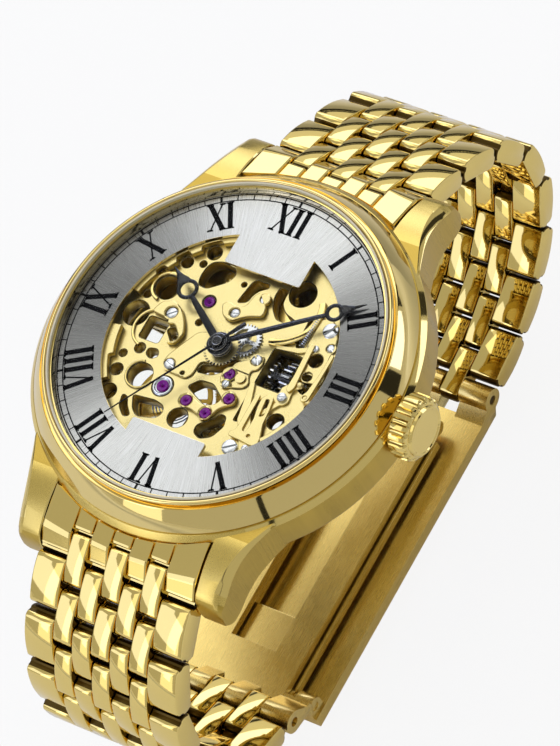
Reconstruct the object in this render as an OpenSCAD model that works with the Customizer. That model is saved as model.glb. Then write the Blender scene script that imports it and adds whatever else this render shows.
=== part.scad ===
// Skeleton wristwatch on a steel brick bracelet, closed on its folding clasp.
// +Z points out of the dial, +Y to 12 o'clock and +X to 3 o'clock.
// The origin is on the flat outer face of the clasp, straight below the dial's centre.
// Heights inside the watch head are measured from the top of the dial (the "head" frame).

/* [Case] */
// Diameter of the case flank, mm
case_d = 41; // [40.6:0.1:42]
// Width between the lugs, mm
lug_gap = 18.7; // [18.65:0.05:19]
// Distance from the case centre to a lug's tip, mm
lug_reach = 24; // [23.8:0.1:24.2]
// Diameter of the crown, mm
crown_d = 6.6; // [5.6:0.1:7]

/* [Dial] */
// Diameter of the opening that shows the movement, mm
dial_window_d = 24.6; // [23.6:0.1:25]
// Rest angle of the hour hand, clockwise from 12, degrees
hour_angle = 304; // [0:1:359]
// Rest angle of the minute hand, clockwise from 12, degrees
minute_angle = 54.5; // [0:0.5:359.5]
// Rest angle of the seconds hand, clockwise from 12, degrees
seconds_angle = 213; // [0:1:359]

/* [Movement] */
// Diameter of the main plate, mm
plate_d = 26; // [25.8:0.1:26.1]
// Diameter of the balance wheel, mm
balance_d = 8.2; // [7:0.1:8.3]

/* [Bracelet] */
// Distance between one brick row's hinge and the next, mm
pitch = 6; // [5.9:0.05:6.1]
// Gap between neighbouring bricks across the bracelet, mm
brick_gap = 0.12; // [0.08:0.01:0.2]
// Radius of a bracelet pin, mm
pin_r = 0.5; // [0.4:0.05:0.55]

/* [Clasp] */
// Thickness of the clasp's outer plate, mm
cover_t = 1.5; // [1.3:0.1:1.6]
// Thickness of each folding blade, mm
blade_t = 1; // [0.8:0.05:1]

/* [Hidden] */
$fn = 72;
eps = 0.02;                     // running clearance, on the radius
gold = [0.80, 0.66, 0.38];
pale_gold = [0.86, 0.78, 0.56];
steel = [0.75, 0.76, 0.78];
silver = [0.85, 0.85, 0.84];
ruby = [0.55, 0.10, 0.35];
black = [0.06, 0.06, 0.07];
clear = [0.85, 0.92, 0.95, 0.35];

// ---- bracelet curve at rest: each link's slope below the horizontal, from the case outwards
upper_slopes = [30, 40, 64, 92, 120, 140, 158, 172];
lower_slopes = [38, 58, 80, 104, 130, 158];
upper_count = len(upper_slopes);
lower_count = len(lower_slopes);
lug_pin_y = 24.8;    // first bracelet hinge, in the head frame
lug_pin_z = -6.7;
end_slope = 36;                 // slope of the fixed end links
function run_y(slopes, count) =
    count <= 0 ? 0 : pitch * cos(slopes[count - 1]) + run_y(slopes, count - 1);
function run_z(slopes, count) =
    count <= 0 ? 0 : -pitch * sin(slopes[count - 1]) + run_z(slopes, count - 1);
cover_pin_z = 2.3;
dial_z = cover_pin_z - run_z(upper_slopes, upper_count) - lug_pin_z;
cover_pin_y = lug_pin_y + run_y(upper_slopes, upper_count);
open_pin_y = -lug_pin_y - run_y(lower_slopes, lower_count);
open_pin_z = dial_z + lug_pin_z + run_z(lower_slopes, lower_count);

// ---- shared helpers
module head() { translate([0, 0, dial_z]) children(); }

// A flat ring between two heights
module ring(r_out, r_in, z_low, z_high) {
    rotate_extrude() translate([r_in, z_low]) square([r_out - r_in, z_high - z_low]);
}

// A disc or shaft along Z between two heights
module shaft(r, z_low, z_high) {
    translate([0, 0, z_low]) cylinder(r = r, h = z_high - z_low);
}

// A shaft along X between two stations
module cross_shaft(r, x_low, x_high) {
    translate([x_low, 0, 0]) rotate([0, 90, 0]) cylinder(r = r, h = x_high - x_low);
}

// A profile drawn in Y and Z, run along X between two stations
module along_x(x_low, x_high) {
    translate([x_low, 0, 0]) rotate([90, 0, 90])
        linear_extrude(x_high - x_low) children();
}

// Flat spiral strip of a given thickness
module spiral(r_start, r_end, turns, strip_t) {
    steps = 20;
    function coil(a, w) = (r_start + (r_end - r_start) * a / (360 * turns) + w)
        * [cos(a), sin(a)];
    polygon(concat([for (i = [0:steps * turns]) coil(i * 360 / steps, 0)],
        [for (i = [steps * turns:-1:0]) coil(i * 360 / steps, strip_t)]));
}

// Toothed outline with straight-sided teeth
module toothed(teeth, module_size, slim = 0.4) {
    pitch_r = teeth * module_size / 2;
    root_r = pitch_r - 1.2 * module_size;
    tip_r = pitch_r + 0.85 * module_size;
    step = 360 / teeth;
    polygon([for (i = [0:teeth - 1], c = [[root_r, -0.3], [tip_r, -slim / 3],
                                          [tip_r, slim / 3], [root_r, 0.3]])
        c[0] * [cos((i + c[1]) * step), sin((i + c[1]) * step)]]);
}

// A toothed wheel with a plain or spoked web
module gear(teeth, module_size, z_low, z_high, bore_r, spokes = 0, rim = 0.45) {
    pitch_r = teeth * module_size / 2;
    inner_r = pitch_r - 1.2 * module_size - rim;
    hub_r = max(bore_r + 0.35, 0.5);
    difference() {
        translate([0, 0, z_low]) linear_extrude(z_high - z_low) toothed(teeth, module_size);
        shaft(bore_r, z_low - 1, z_high + 1);
        if (spokes > 0) difference() {
            ring(inner_r, hub_r, z_low - 0.5, z_high + 0.5);
            for (i = [0:spokes - 1]) rotate([0, 0, i * 360 / spokes])
                translate([0, -0.2, z_low - 1]) cube([inner_r + 1, 0.4, z_high - z_low + 2]);
        }
    }
}

// ---- case -------------------------------------------------------------------------
case_r = case_d / 2;
case_bottom = -6.3;
cavity_r = 16.95;
dial_seat_r = 17.4;
neck_r = 17.85;
bezel_seat = -1.6;
bar_y = 22.2;                     // spring bars, in the head frame
bar_z = -6.3;
bar_r = 0.75;
crown_z = -3.06;
lug_t = 3.2;
lug_inner_x = lug_gap / 2;

lug_crest = -1.9;
lug_fall = 0.055;                 // how fast the lug's top curves down past the case

function lug_top(y) = lug_crest - lug_fall * pow(max(y - 17, 0), 2);

module lug_side() {
    polygon(concat(
        [for (y = [12:0.75:23.25]) [y, lug_top(y)]],
        [[lug_reach - 0.4, -4.45], [lug_reach - 0.15, -5], [lug_reach, -5.8],
         [lug_reach, -7.6],
         [lug_reach - 0.3, -8.15], [lug_reach - 0.9, -8.4], [22, -8.3], [20.5, -7.7],
         [18.5, -7], [16, -6.5], [14, case_bottom], [12, case_bottom]]));
}

module lug_plan() {
    x0 = lug_inner_x;
    x1 = lug_inner_x + lug_t;
    polygon([[x0, 12], [x0, lug_reach], [x1 - 0.4, lug_reach], [x1 - 0.15, 23.4],
        [x1 - 0.05, 22], [x1 + 0.05, 20.5], [x1 + 0.3, 19], [x1 + 0.7, 17.5],
        [x1 + 1.25, 16], [x1 + 1.9, 14.4], [x1 + 1.9, 12]]);
}

module lug() {
    intersection() {
        along_x(lug_inner_x - 1, lug_inner_x + 8) lug_side();
        translate([0, 0, -10]) linear_extrude(12) lug_plan();
    }
}

module mid_case() color(gold) head() difference() {
    union() {
        rotate_extrude() polygon([[cavity_r - 1, case_bottom], [case_r - 0.5, case_bottom],
            [case_r, case_bottom + 0.6], [case_r, bezel_seat - 0.6],
            [case_r - 0.55, bezel_seat], [neck_r, bezel_seat], [neck_r, 0.6],
            [cavity_r - 1, 0.6]]);
        for (sx = [0, 1], sy = [0, 1]) mirror([sx, 0, 0]) mirror([0, sy, 0]) lug();
    }
    shaft(cavity_r, case_bottom - 3, 1);
    shaft(dial_seat_r, -0.4, 1);
    shaft(back_neck_r + 0.05, case_bottom - 3, back_neck_top + 0.05);
    ring(back_r + 6, cavity_r - 1, case_bottom - 3, case_bottom - 2.4);
    shaft(back_r + 0.15, case_bottom - 3, case_bottom);
    for (sy = [-1, 1]) translate([0, sy * bar_y, bar_z])
        cross_shaft(bar_r + eps, -lug_inner_x - 2.2, lug_inner_x + 2.2);
    translate([0, 0, crown_z]) cross_shaft(tube_r, cavity_r - 1, case_r + 1);
}

bezel_r = 19.9;
cone_r = 18.4;                    // where the bezel's cone starts, outside the groove
lip_r = 17.85;
crystal_seat = 0.9;
crystal_bore_r = 17.6;

module bezel() color(gold) head() rotate_extrude() polygon(concat(
    [[bezel_r - 0.15, bezel_seat], [bezel_r, bezel_seat + 0.15]],
    [[cone_r + 0.05, 0.74], [cone_r - 0.03, 0.74], [cone_r - 0.05, 0.35],
     [lip_r + 0.27, 0.35], [lip_r + 0.25, 1.05]],
    [for (a = [20:20:160]) [lip_r + 0.25 * cos(a), 1.05 + 0.27 * sin(a)]],
    [[crystal_bore_r, 1.05], [crystal_bore_r, crystal_seat], [17.15, crystal_seat],
     [17.15, 0.65], [neck_r + 0.03, 0.65], [neck_r + 0.03, bezel_seat]]));

crystal_r = 17.36;
crystal_edge_z = 1.5;           // top of the crystal at its rim
crystal_dome = 0.28;            // rise of the dome from rim to centre
dome_steps = 10;

module crystal() color(clear) head() rotate_extrude($fn = 144) polygon(concat(
    [[0, crystal_seat + 0.01], [crystal_r, crystal_seat + 0.01],
     [crystal_r, crystal_edge_z - 0.15], [crystal_r - 0.15, crystal_edge_z]],
    [for (i = [1:dome_steps]) let (r = (crystal_r - 0.15) * (1 - i / dome_steps))
        [r, crystal_edge_z + crystal_dome * (1 - pow(r / crystal_r, 2))]]));

module seals() color(black) head() {
    ring(17.58, 17.38, crystal_seat + 0.02, 1.3);
    ring(back_neck_r - 0.22, back_neck_r - 0.65, back_neck_top, back_neck_top + 0.4);
}

module dial_flange() color(silver) head() rotate_extrude()
    polygon([[17.0, 0.02], [17.34, 0.02], [17.34, 0.62], [17.24, 0.62]]);

// ---- dial -------------------------------------------------------------------------
dial_r = 17.35;
dial_t = 0.4;
tab_top_y = 8.3;
tab_bottom_y = -10;

module dial() color(silver) head() translate([0, 0, -dial_t]) linear_extrude(dial_t) {
    difference() {
        circle(dial_r, $fn = 144);
        circle(dial_window_d / 2, $fn = 144);
    }
    translate([-4.4, tab_top_y]) square([9, 4.9]);
    translate([-4.35, -13.2]) square([8.7, 13.2 + tab_bottom_y]);
}

ring_outer_r = 16.85;

module movement_ring() color(steel) head() difference() {
    ring(ring_outer_r, plate_r + 0.05, -4.4, -0.45);
    translate([0, 0, crown_z]) cross_shaft(0.75, plate_r - 1, ring_outer_r + 1);
}

// ---- case back --------------------------------------------------------------------
back_r = 19.5;
back_neck_r = 17.15;
back_neck_top = -5.2;
back_bottom = -8.5;
back_window_r = 13.8;
back_glass_r = 15;

module case_back() color(gold) head() difference() {
    rotate_extrude() polygon([[back_window_r, back_bottom], [back_r - 1.1, back_bottom],
        [back_r, case_bottom - 1], [back_r, case_bottom - 0.02],
        [back_neck_r, case_bottom - 0.02], [back_neck_r, back_neck_top],
        [back_neck_r - 1, back_neck_top], [back_neck_r - 1, case_bottom - 1],
        [back_glass_r + 0.03, -7.3], [back_glass_r + 0.03, back_bottom + 0.4],
        [back_window_r, back_bottom + 0.4]]);
    for (i = [0:5]) rotate([0, 0, i * 60 + 30])
        translate([back_r - 1.9, -0.9, back_bottom - 1]) cube([3, 1.8, 1.6]);
}

module case_back_crystal() color(clear) head()
    shaft(back_glass_r, back_bottom + 0.42, back_bottom + 1.15);

// ---- crown and winding ------------------------------------------------------------
tube_r = 1.4;
tube_bore_r = 1;
crown_inner_x = case_r + 0.1;
crown_len = 2.5;
crown_bore_depth = 1.1;
flutes = 18;

module crown_frame() { head() translate([0, 0, crown_z]) children(); }

module crown_tube() color(steel) crown_frame() difference() {
    cross_shaft(tube_r - 0.01, cavity_r - 0.05, case_r + 1);
    cross_shaft(tube_bore_r, cavity_r - 1, case_r + 2);
}

module crown_gasket() color(black) crown_frame() difference() {
    cross_shaft(tube_bore_r - eps, case_r - 0.6, case_r);
    cross_shaft(stem_r + eps, case_r - 2, case_r + 1);
}

module crown() color(gold) crown_frame() translate([crown_inner_x, 0, 0])
rotate([0, 90, 0]) difference() {
    union() {
        linear_extrude(crown_len - 0.45) difference() {
            circle(crown_d / 2);
            for (i = [0:flutes - 1]) rotate([0, 0, i * 360 / flutes])
                translate([crown_d / 2 + 0.12, 0]) circle(0.4, $fn = 24);
        }
        shaft(crown_d / 2 - 0.75, crown_len - 0.5, crown_len);
    }
    shaft(tube_r + 0.25, -1, crown_bore_depth);
}

stem_r = 0.45;
stem_inner_x = 4.9;

module winding_stem() color(steel) crown_frame() {
    difference() {
        cross_shaft(stem_r, stem_inner_x, crown_inner_x + crown_bore_depth);
        difference() {
            cross_shaft(2, 9.2, 9.9);
            cross_shaft(stem_r - 0.15, 9, 10);
        }
    }
}

slide_x = 5.4;
wind_x = 7.05;
wind_teeth = 17;
crown_module = 0.2;

module pinion_x(x_low, x_high, teeth, bore) {
    translate([x_low, 0, 0]) rotate([0, 90, 0]) difference() {
        linear_extrude(x_high - x_low) toothed(teeth, crown_module);
        shaft(bore, -1, x_high - x_low + 1);
    }
}

module sliding_pinion() color(steel) crown_frame() difference() {
    union() {
        pinion_x(slide_x, slide_x + 0.4, 12, stem_r + eps);
        difference() {
            cross_shaft(0.85, slide_x + 0.4, slide_x + 1.3);
            cross_shaft(stem_r + eps, slide_x, slide_x + 2);
        }
    }
    difference() {
        cross_shaft(2, slide_x + 0.6, slide_x + 0.9);
        cross_shaft(0.65, slide_x, slide_x + 2);
    }
}

module winding_pinion() color(steel) crown_frame()
    pinion_x(wind_x, wind_x + 0.95, wind_teeth, stem_r + eps);

crown_wheel_x = 5;
crown_wheel_teeth = 33;
crown_wheel_bore = 0.45;
crown_hub_teeth = 26;
crown_hub_low = -5.1;
ratchet_teeth = 44;
ratchet_phase = 3.44;
winding_low = -5.85;
winding_top = -5.6;

module crown_wheel() color(steel) head() translate([crown_wheel_x, 0, 0]) {
    gear(crown_wheel_teeth, crown_module, winding_low, winding_top, crown_wheel_bore);
    ring(0.9, crown_wheel_bore, winding_top, crown_hub_low);
    gear(crown_hub_teeth, crown_module, crown_hub_low, crown_hub_low + 0.19, crown_wheel_bore);
}

barrel_pos = [-0.48, 5.44];

arbor_r = 0.28;

// Ratchet wheel on the square of the barrel arbor, which runs through the barrel
module ratchet_wheel() color(steel) head() translate(barrel_pos) {
    rotate([0, 0, ratchet_phase])
        gear(ratchet_teeth, crown_module, winding_low, winding_top, 0.2);
    shaft(arbor_r, winding_low - 0.1, -2.35);
}

lever_pivot = [8.6, -2.6];
lever_top = -1.02;
lever_low = -1.25;

// Setting lever: a hooked steel lever whose stud sits in the stem's groove
module setting_lever() color(steel) head() {
    difference() {
        translate([0, 0, lever_low]) linear_extrude(lever_top - lever_low) {
            translate(lever_pivot) circle(0.75);
            polygon([[8.1, -2.9], [8, -1.6], [8.7, -0.7], [9.9, -0.5], [9.95, -1],
                [9.2, -1.4], [9.3, -2.4]]);
            polygon([[8.3, -3.2], [7, -4.9], [7.4, -5.1], [8.9, -3.1]]);
        }
        translate(lever_pivot) shaft(0.4, -2, 0);
    }
    translate([9.55, -0.52, -3]) cylinder(r = 0.15, h = 3 + lever_low + 0.1);
}

// Yoke and setting lever spring: two thin steel springs screwed to the plate
module keyless_springs() color(steel) head() {
    translate([0, 0, lever_low]) linear_extrude(lever_top - lever_low) {
        difference() {
            polygon([[4.6, -2.2], [5.1, -2.1], [5.9, -4.4], [7.6, -7.2], [8.6, -9],
                [8.2, -9.5], [7.3, -9.1], [5.4, -6.2], [5, -4.3]]);
            translate([7.95, -8.9]) circle(0.24);
        }
        polygon([[4.9, 2.3], [5.2, 2], [7.6, 2.3], [9.4, 3.2], [9.2, 3.7], [7.4, 2.8]]);
    }
}

// ---- movement plates and bridges --------------------------------------------------
plate_r = plate_d / 2;
plate_top = -1.3;
plate_low = -2.9;
bridge_top = -4.7;
bridge_low = -5.5;
third_pos = [2, -2.1];
fourth_pos = [3.51, -4.58];
escape_pos = [1.99, -6.81];
pallet_pos = [-0.61, -6.26];
balance_pos = [-4, -5.6];
minute_wheel_pos = [1.6, 1.65];

// Round windows through the main plate: x, y, radius
plate_holes = [[-6.6, 9.3, 0.75], [-8.8, 7.4, 0.6], [-7.1, 7.8, 0.35], [-9.3, 4.2, 1.3],
    [-10.95, 2.9, 0.42], [-11, 0.6, 1.4], [-9.9, -3.8, 0.4], [-9.6, -5.6, 0.65],
    [-6.9, -5.3, 1.3], [-9.1, -8, 0.8], [4.6, 8.3, 1.4], [9.7, 2.2, 0.75],
    [-1.8, 7.2, 0.25], [9.1, -5, 0.85], [-11, 5.7, 0.3], [-8.5, -2.7, 0.55],
    [9.7, 0, 0.66], [8.9, 3.3, 0.28], [-2.7, -3.7, 0.2], [0.5, -10.4, 0.35],
    [7.2, -9.9, 0.3], [10.2, -7, 0.4], [2.6, 10.4, 0.6], [-0.7, -8.1, 1.05],
    [-2.9, 10.6, 0.7], [11.5, -2.6, 0.35], [-4.1, 1.9, 0.35]];

// Cut windows: the corners of each opening
plate_windows = [
    [[-6.2, 8.3], [-5.2, 8.7], [-3.5, 8.4], [-3.2, 7.75], [-3.6, 6.9], [-4.6, 6.1],
        [-5.4, 5.5], [-6.4, 5.6], [-6.65, 6.6], [-6.55, 7.6]],
    [[-1.5, 5.2], [-1.1, 7.6], [-0.75, 8.1], [0.7, 8.1], [0.85, 7.7], [0.1, 7.2],
        [-0.35, 6.5], [-0.5, 5.6]],
    [[2, 8.2], [3, 8.2], [3, 7.4], [3.1, 6.6], [3.9, 5.8], [5.3, 5.4], [5.2, 4.9],
        [3.4, 4.9], [2.4, 5.9], [1.95, 7.1]],
    [[6.7, 6.5], [7.6, 6.2], [7.8, 3], [6.9, 2.8]],
    [[-9.35, 0.85], [-7, 0.85], [-7, -1.65], [-9.35, -1.65]],
    [[-6.6, 0.35], [-6.1, 0.5], [-4.9, -0.6], [-5.2, -1.1], [-5.8, -1], [-6.8, 0]],
    [[-7.6, -2.4], [-6.6, -2.2], [-6.2, -2.9], [-6.9, -3.4], [-7.6, -3]],
    [[-6.4, -7.5], [-3.9, -7.25], [-2.8, -7.5], [-2.5, -8.2], [-2.9, -8.9],
        [-4.9, -9.4], [-5.7, -8.8]],
    [[-7.5, -7.8], [-6.9, -7.9], [-6.4, -8.8], [-5.6, -9.6], [-6.2, -9.9], [-7.2, -9]],
    [[1.7, -8.9], [1.6, -8.1], [2.9, -7], [3.4, -6.2], [4, -6.3], [4.3, -7.3],
        [3.7, -8.7], [2.6, -9.3]],
    [[-1.5, -4.7], [-0.6, -3.7], [0.9, -3.6], [2.5, -4.7], [2.5, -5.5], [1.2, -5.9],
        [-0.2, -5.3]],
    [[-1.45, -3], [0.2, -2.75], [1.15, -2], [1.5, -1.45], [2.5, -0.9], [2.6, -0.5],
        [1.9, -0.35], [1.1, -1.1], [-0.1, -1.8], [-1.3, -2.1]],
    [[4.9, 2.1], [8.3, 2.1], [8.3, -2.1], [4.9, -2.1]],
    [[4.9, -3.2], [5.5, -3.3], [5.5, -6.2], [4.9, -6.4]],
    [[6.4, -3.4], [7.3, -3.2], [7.5, -4.6], [7, -6.1], [6.4, -5.6]]];

// Jewels at the plate's front face: x, y
jewel_places = [[-4.3, 4.3], third_pos, fourth_pos, escape_pos, pallet_pos];
jewel_r = 0.55;
pivot_hole_r = 0.13;

// Screws on the front of the plate: x, y, head radius, slot angle
front_screws = [[-7.1, 1.7, 0.62, 40], [1.4, 6.3, 0.62, 100], [-0.8, 3.9, 0.5, 15],
    [9.5, 5.6, 0.85, 60], [3.9, 0.2, 0.55, 130], [2.2, -3.2, 0.4, 80],
    [8.6, -2.6, 0.5, 20], [6.15, -9.1, 0.8, 35], [10.5, 3.9, 0.4, 150],
    [7.9, -8.8, 0.4, 70], [9.1, 3.3, 0.36, 110], [-4.5, -3.3, 0.56, 165]];

module main_plate() color(pale_gold) head() difference() {
    shaft(plate_r, plate_low, plate_top);
    for (h = plate_holes) translate([h[0], h[1], plate_low - 1]) cylinder(r = h[2], h = 3);
    for (w = plate_windows) translate([0, 0, plate_low - 1]) linear_extrude(3) polygon(w);
    for (j = jewel_places) translate([j[0], j[1], plate_low - 1])
        cylinder(r = jewel_r + 0.01, h = 3);
    translate([balance_pos[0], balance_pos[1], plate_low - 1]) cylinder(r = 1.11, h = 3);
    translate([minute_wheel_pos[0], minute_wheel_pos[1], plate_low - 1])
        cylinder(r = 0.25, h = 3);
    shaft(0.9, plate_low - 1, plate_top + 1);
    translate([0, 0, crown_z]) cross_shaft(0.75, 8, plate_r + 1);
    translate([8, -0.75, crown_z - 1]) cube([6, 1.5, 1]);
    translate([9.3, -1.3, plate_low - 1]) cube([1.3, 1.1, 3]);
    translate([barrel_pos[0], barrel_pos[1], plate_low - 1]) cylinder(r = 0.55, h = 2.2);
}

module plate_jewels() color(ruby) head() {
    for (j = jewel_places) translate([j[0], j[1], 0]) difference() {
        shaft(jewel_r, plate_top - 0.55, plate_top);
        shaft(pivot_hole_r, plate_top - 1, plate_top + 1);
        translate([0, 0, plate_top]) sphere(r = 0.3, $fn = 32);
    }
    translate([balance_pos[0], balance_pos[1], 0]) difference() {
        shaft(1.1, plate_top - 0.8, plate_top + 0.12);
        shaft(pivot_hole_r, plate_top - 2, plate_top + 1);
        translate([0, 0, plate_top + 0.12]) sphere(r = 0.55, $fn = 32);
    }
}

// Heads over a lever or spring sit on it; the others sit on the plate
function screw_seat(s) =
    s[1] < -2.5 && s[0] > 7.5 && s[2] < 0.6 ? lever_top :
    s[0] == 9.1 ? lever_top : plate_top;

bridge_screws = [[-9.6, 6], [9.3, 6.6], [-2, 11.4], [10.3, -4], [5.6, -9.6], [0.8, -11.2]];
cock_foot = [-9.4, -7.2];
cock_low = -5.6;

module slotted_screw(r, z_low, z_high, angle) {
    slot_w = 0.3 * r;
    rotate([0, 0, angle]) difference() {
        shaft(r, z_low, z_high);
        translate([-2, -slot_w / 2, z_high - 0.14]) cube([4, slot_w, 1]);
    }
}

module movement_screws() color(silver) head() {
    for (s = front_screws) translate([s[0], s[1], 0])
        slotted_screw(s[2], s[0] == lever_pivot[0] ? lever_top + 0.02 : screw_seat(s),
            screw_seat(s) + 0.3, s[3]);
    translate(lever_pivot) shaft(0.38, plate_top, lever_top + 0.05);
    for (p = bridge_screws) translate([p[0], p[1], 0]) rotate([180, 0, 0])
        slotted_screw(0.6, -bridge_low, -bridge_low + 0.25, 30);
    translate([cock_foot[0], cock_foot[1], 0]) rotate([180, 0, 0])
        slotted_screw(0.7, -cock_low, -cock_low + 0.25, 80);
}

// Outline of one bridge: a disc cut along a straight line, with clear rings for its wheels
module bridge_blank(points) {
    intersection() {
        circle(plate_r - 0.4);
        polygon(points);
    }
}

// A curved foot that stands on a bridge's rim and carries the main plate
module bridge_foot(a_from, a_to) {
    foot_low = bridge_top - 0.3;
    rotate([0, 0, a_from]) rotate_extrude(angle = a_to - a_from)
        translate([plate_r - 1.5, foot_low]) square([0.95, plate_low - foot_low]);
}

// Room in the bridges for the crown wheel, its hub and the winding pinion
module crown_wheel_recess() {
    translate([crown_wheel_x, 0, -5.15]) cylinder(r = 2.9, h = 1);
    translate([crown_wheel_x, 0, -7]) cylinder(r = 0.95, h = 3);
    translate([wind_x - 0.25, -1.1, -5.15]) cube([1.4, 2.2, 1]);
}

module barrel_bridge() color(pale_gold) head() {
    difference() {
        translate([0, 0, bridge_low]) linear_extrude(bridge_top - bridge_low)
            bridge_blank([[-14, 1.2], [-1.2, 1.2], [1.2, 1.2], [5, 1.2], [14, 1.2],
                [14, 14], [-14, 14]]);
        translate([barrel_pos[0], barrel_pos[1], -7]) cylinder(r = arbor_r + eps, h = 3);
        crown_wheel_recess();
    }
    for (a = [[20, 40], [75, 105], [140, 165]]) bridge_foot(a[0], a[1]);
}

module train_bridge() color(pale_gold) head() {
    difference() {
        union() {
            translate([0, 0, bridge_low]) linear_extrude(bridge_top - bridge_low)
                bridge_blank([[-1.2, 1.1], [14, 1.1], [14, -14], [-0.5, -14], [-0.5, -9],
                    [0.35, -6], [-0.3, -3], [-1.2, -1.5]]);
            shaft(rotor_post_r, rotor_low, bridge_low);
        }
        translate([balance_pos[0], balance_pos[1], -8])
            cylinder(r = balance_d / 2 + 0.25, h = 4);
        for (p = [third_pos, fourth_pos, escape_pos, [0, 0]])
            translate([p[0], p[1], bridge_top - 0.4]) cylinder(r = pivot_hole_r, h = 1);
        translate([6.8, -3.8, bridge_low - 1]) cylinder(r = 0.95, h = 3);
        crown_wheel_recess();
    }
    bridge_foot(-45, -15);
    bridge_foot(-85, -60);
    // pallet bridge
    difference() {
        union() {
            translate([0, 0, -3.95]) linear_extrude(0.35) {
                translate(pallet_pos) circle(0.6);
                polygon([[-1.1, -6.4], [-0.1, -6.4], [0.2, -11], [-1.4, -11]]);
                translate([-0.6, -11]) circle(0.8);
            }
            translate([-0.6, -11, -3.6]) cylinder(r = 0.8, h = 3.6 + plate_low);
        }
        translate([pallet_pos[0], pallet_pos[1], -5]) cylinder(r = pivot_hole_r, h = 3);
    }
}

module balance_cock() color(pale_gold) head() difference() {
    union() {
        translate([0, 0, cock_low]) linear_extrude(0.7) {
            translate(balance_pos) circle(1.3);
            polygon([[-4.6, -6.8], [-3.6, -4.4], [-8.8, -5.6], [-10.6, -5.6],
                [-9.6, -8.2], [-8.4, -9]]);
            translate(cock_foot) circle(1.2);
        }
        translate([cock_foot[0], cock_foot[1], cock_low])
            cylinder(r = 1.2, h = plate_low - cock_low);
    }
    translate([balance_pos[0], balance_pos[1], -5.3]) cylinder(r = pivot_hole_r, h = 1);
}

// ---- going train ------------------------------------------------------------------
train_pivot_top = plate_top - 0.2;
bridge_pivot = bridge_top - 0.3;

// A wheel, its pinion and their arbor, pivoted between plate and bridge
module train_wheel(pos, teeth, size, z_wheel, pinion_teeth, pinion_size, z_pinion) {
    translate(pos) {
        gear(teeth, size, z_wheel, z_wheel + 0.15, 0.2, 5);
        translate([0, 0, z_pinion]) linear_extrude(0.22) difference() {
            toothed(pinion_teeth, pinion_size);
            circle(0.2);
        }
        shaft(0.1, bridge_pivot, train_pivot_top);
        shaft(0.2, bridge_top + 0.05, plate_low - 0.05);
    }
}

module center_wheel() color(gold) head() difference() {
    union() {
        gear(64, 0.0806, -4.25, -4.1, 0.3, 5);
        translate([0, 0, -3.32]) linear_extrude(0.36) toothed(12, 0.13);
        shaft(0.42, -4.3, 0.36);
    }
    shaft(0.2, -5, 1);
}

module third_wheel() color(gold) head()
    train_wheel(third_pos, 60, 0.0853, -4.58, 8, 0.0806, -4.29);

module fourth_wheel() color(gold) head()
    train_wheel(fourth_pos, 72, 0.0692, -3.85, 8, 0.0853, -4.62);

escape_teeth = 15;
escape_r = 2.3;

module escape_wheel() color(steel) head() translate(escape_pos) {
    translate([0, 0, -3.25]) linear_extrude(0.15) difference() {
        polygon([for (i = [0:escape_teeth - 1], c = [[1.65, 0], [escape_r, 13],
                [escape_r, 14.5], [1.75, 17]])
            c[0] * [cos(i * 24 + c[1]), sin(i * 24 + c[1])]]);
        circle(0.2);
        difference() {
            circle(1.35);
            circle(0.55);
            for (i = [0, 1]) rotate(i * 90) square([3, 0.32], center = true);
        }
    }
    translate([0, 0, -3.9]) linear_extrude(0.25) difference() {
        toothed(6, 0.0692);
        circle(0.1);
    }
    shaft(0.1, bridge_pivot, train_pivot_top);
    shaft(0.2, bridge_top + 0.05, plate_low - 0.05);
}

module pallet_fork() color(steel) head() translate(pallet_pos) {
    difference() {
        translate([0, 0, -3.25]) linear_extrude(0.15) union() {
            circle(0.4);
            polygon([[-0.2, -0.12], [-2.2, 0.36], [-2.25, 0.62], [-1.9, 0.5], [-0.1, 0.15]]);
            polygon([[0, -0.3], [0.35, -1.3], [0.15, -1.35], [-0.3, -0.2]]);
            polygon([[0, 0.3], [0.1, 1.35], [-0.1, 1.35], [-0.3, 0.2]]);
        }
        shaft(0.09, -4, 0);
    }
    shaft(0.1, -3.9, train_pivot_top);
}

module balance_wheel() color(pale_gold) head() translate(balance_pos) {
    ring(balance_d / 2, balance_d / 2 - 0.5, -4.6, -4.32);
    difference() {
        translate([0, 0, -4.52]) linear_extrude(0.14) union() {
            for (a = [0, 120, 240]) rotate(a + 20)
                translate([0, -0.2]) square([balance_d / 2 - 0.3, 0.4]);
            circle(0.7);
        }
        shaft(0.3, -5, -4);
    }
    shaft(0.3, -4.85, -3.2);
    shaft(0.1, -5.2, train_pivot_top);
    shaft(0.55, -3.5, -3.35);
}

spring_turns = 6;

module hairspring() color(steel) head() translate([balance_pos[0], balance_pos[1], -4.8])
    linear_extrude(0.14) spiral(0.5, 2.4, spring_turns, 0.06);

barrel_teeth = 72;
barrel_module = 0.13;
mainspring_turns = 7;

module barrel() color(gold) head() translate(barrel_pos) {
    difference() {
        union() {
            gear(barrel_teeth, barrel_module, -3.3, -2.98, 0.5);
            shaft(4.2, -4.05, -3.3);
        }
        ring(3.95, 0.5, -3.9, -3.1);
        shaft(arbor_r + eps, -5, -2);
    }
}

module mainspring() color(steel) head() translate([barrel_pos[0], barrel_pos[1], -3.85])
    linear_extrude(0.7) spiral(1.1, 3.6, mainspring_turns, 0.12);

// ---- motion work and hands --------------------------------------------------------
motion_module = 0.115;
cannon_r = 0.62;
cannon_top = 0.4;
hour_tube_r = 0.88;

module cannon_pinion() color(steel) head() difference() {
    union() {
        shaft(cannon_r, -1.25, cannon_top);
        translate([0, 0, -1.25]) linear_extrude(0.25) toothed(10, motion_module);
    }
    shaft(0.44, -2, 1);
}

module minute_wheel() color(gold) head() translate(minute_wheel_pos) {
    gear(30, motion_module, -1.25, -1, 0.2, 4, 0.3);
    translate([0, 0, -1]) linear_extrude(0.25) toothed(8, motion_module);
    shaft(0.2, -2.4, -1);
}

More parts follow.
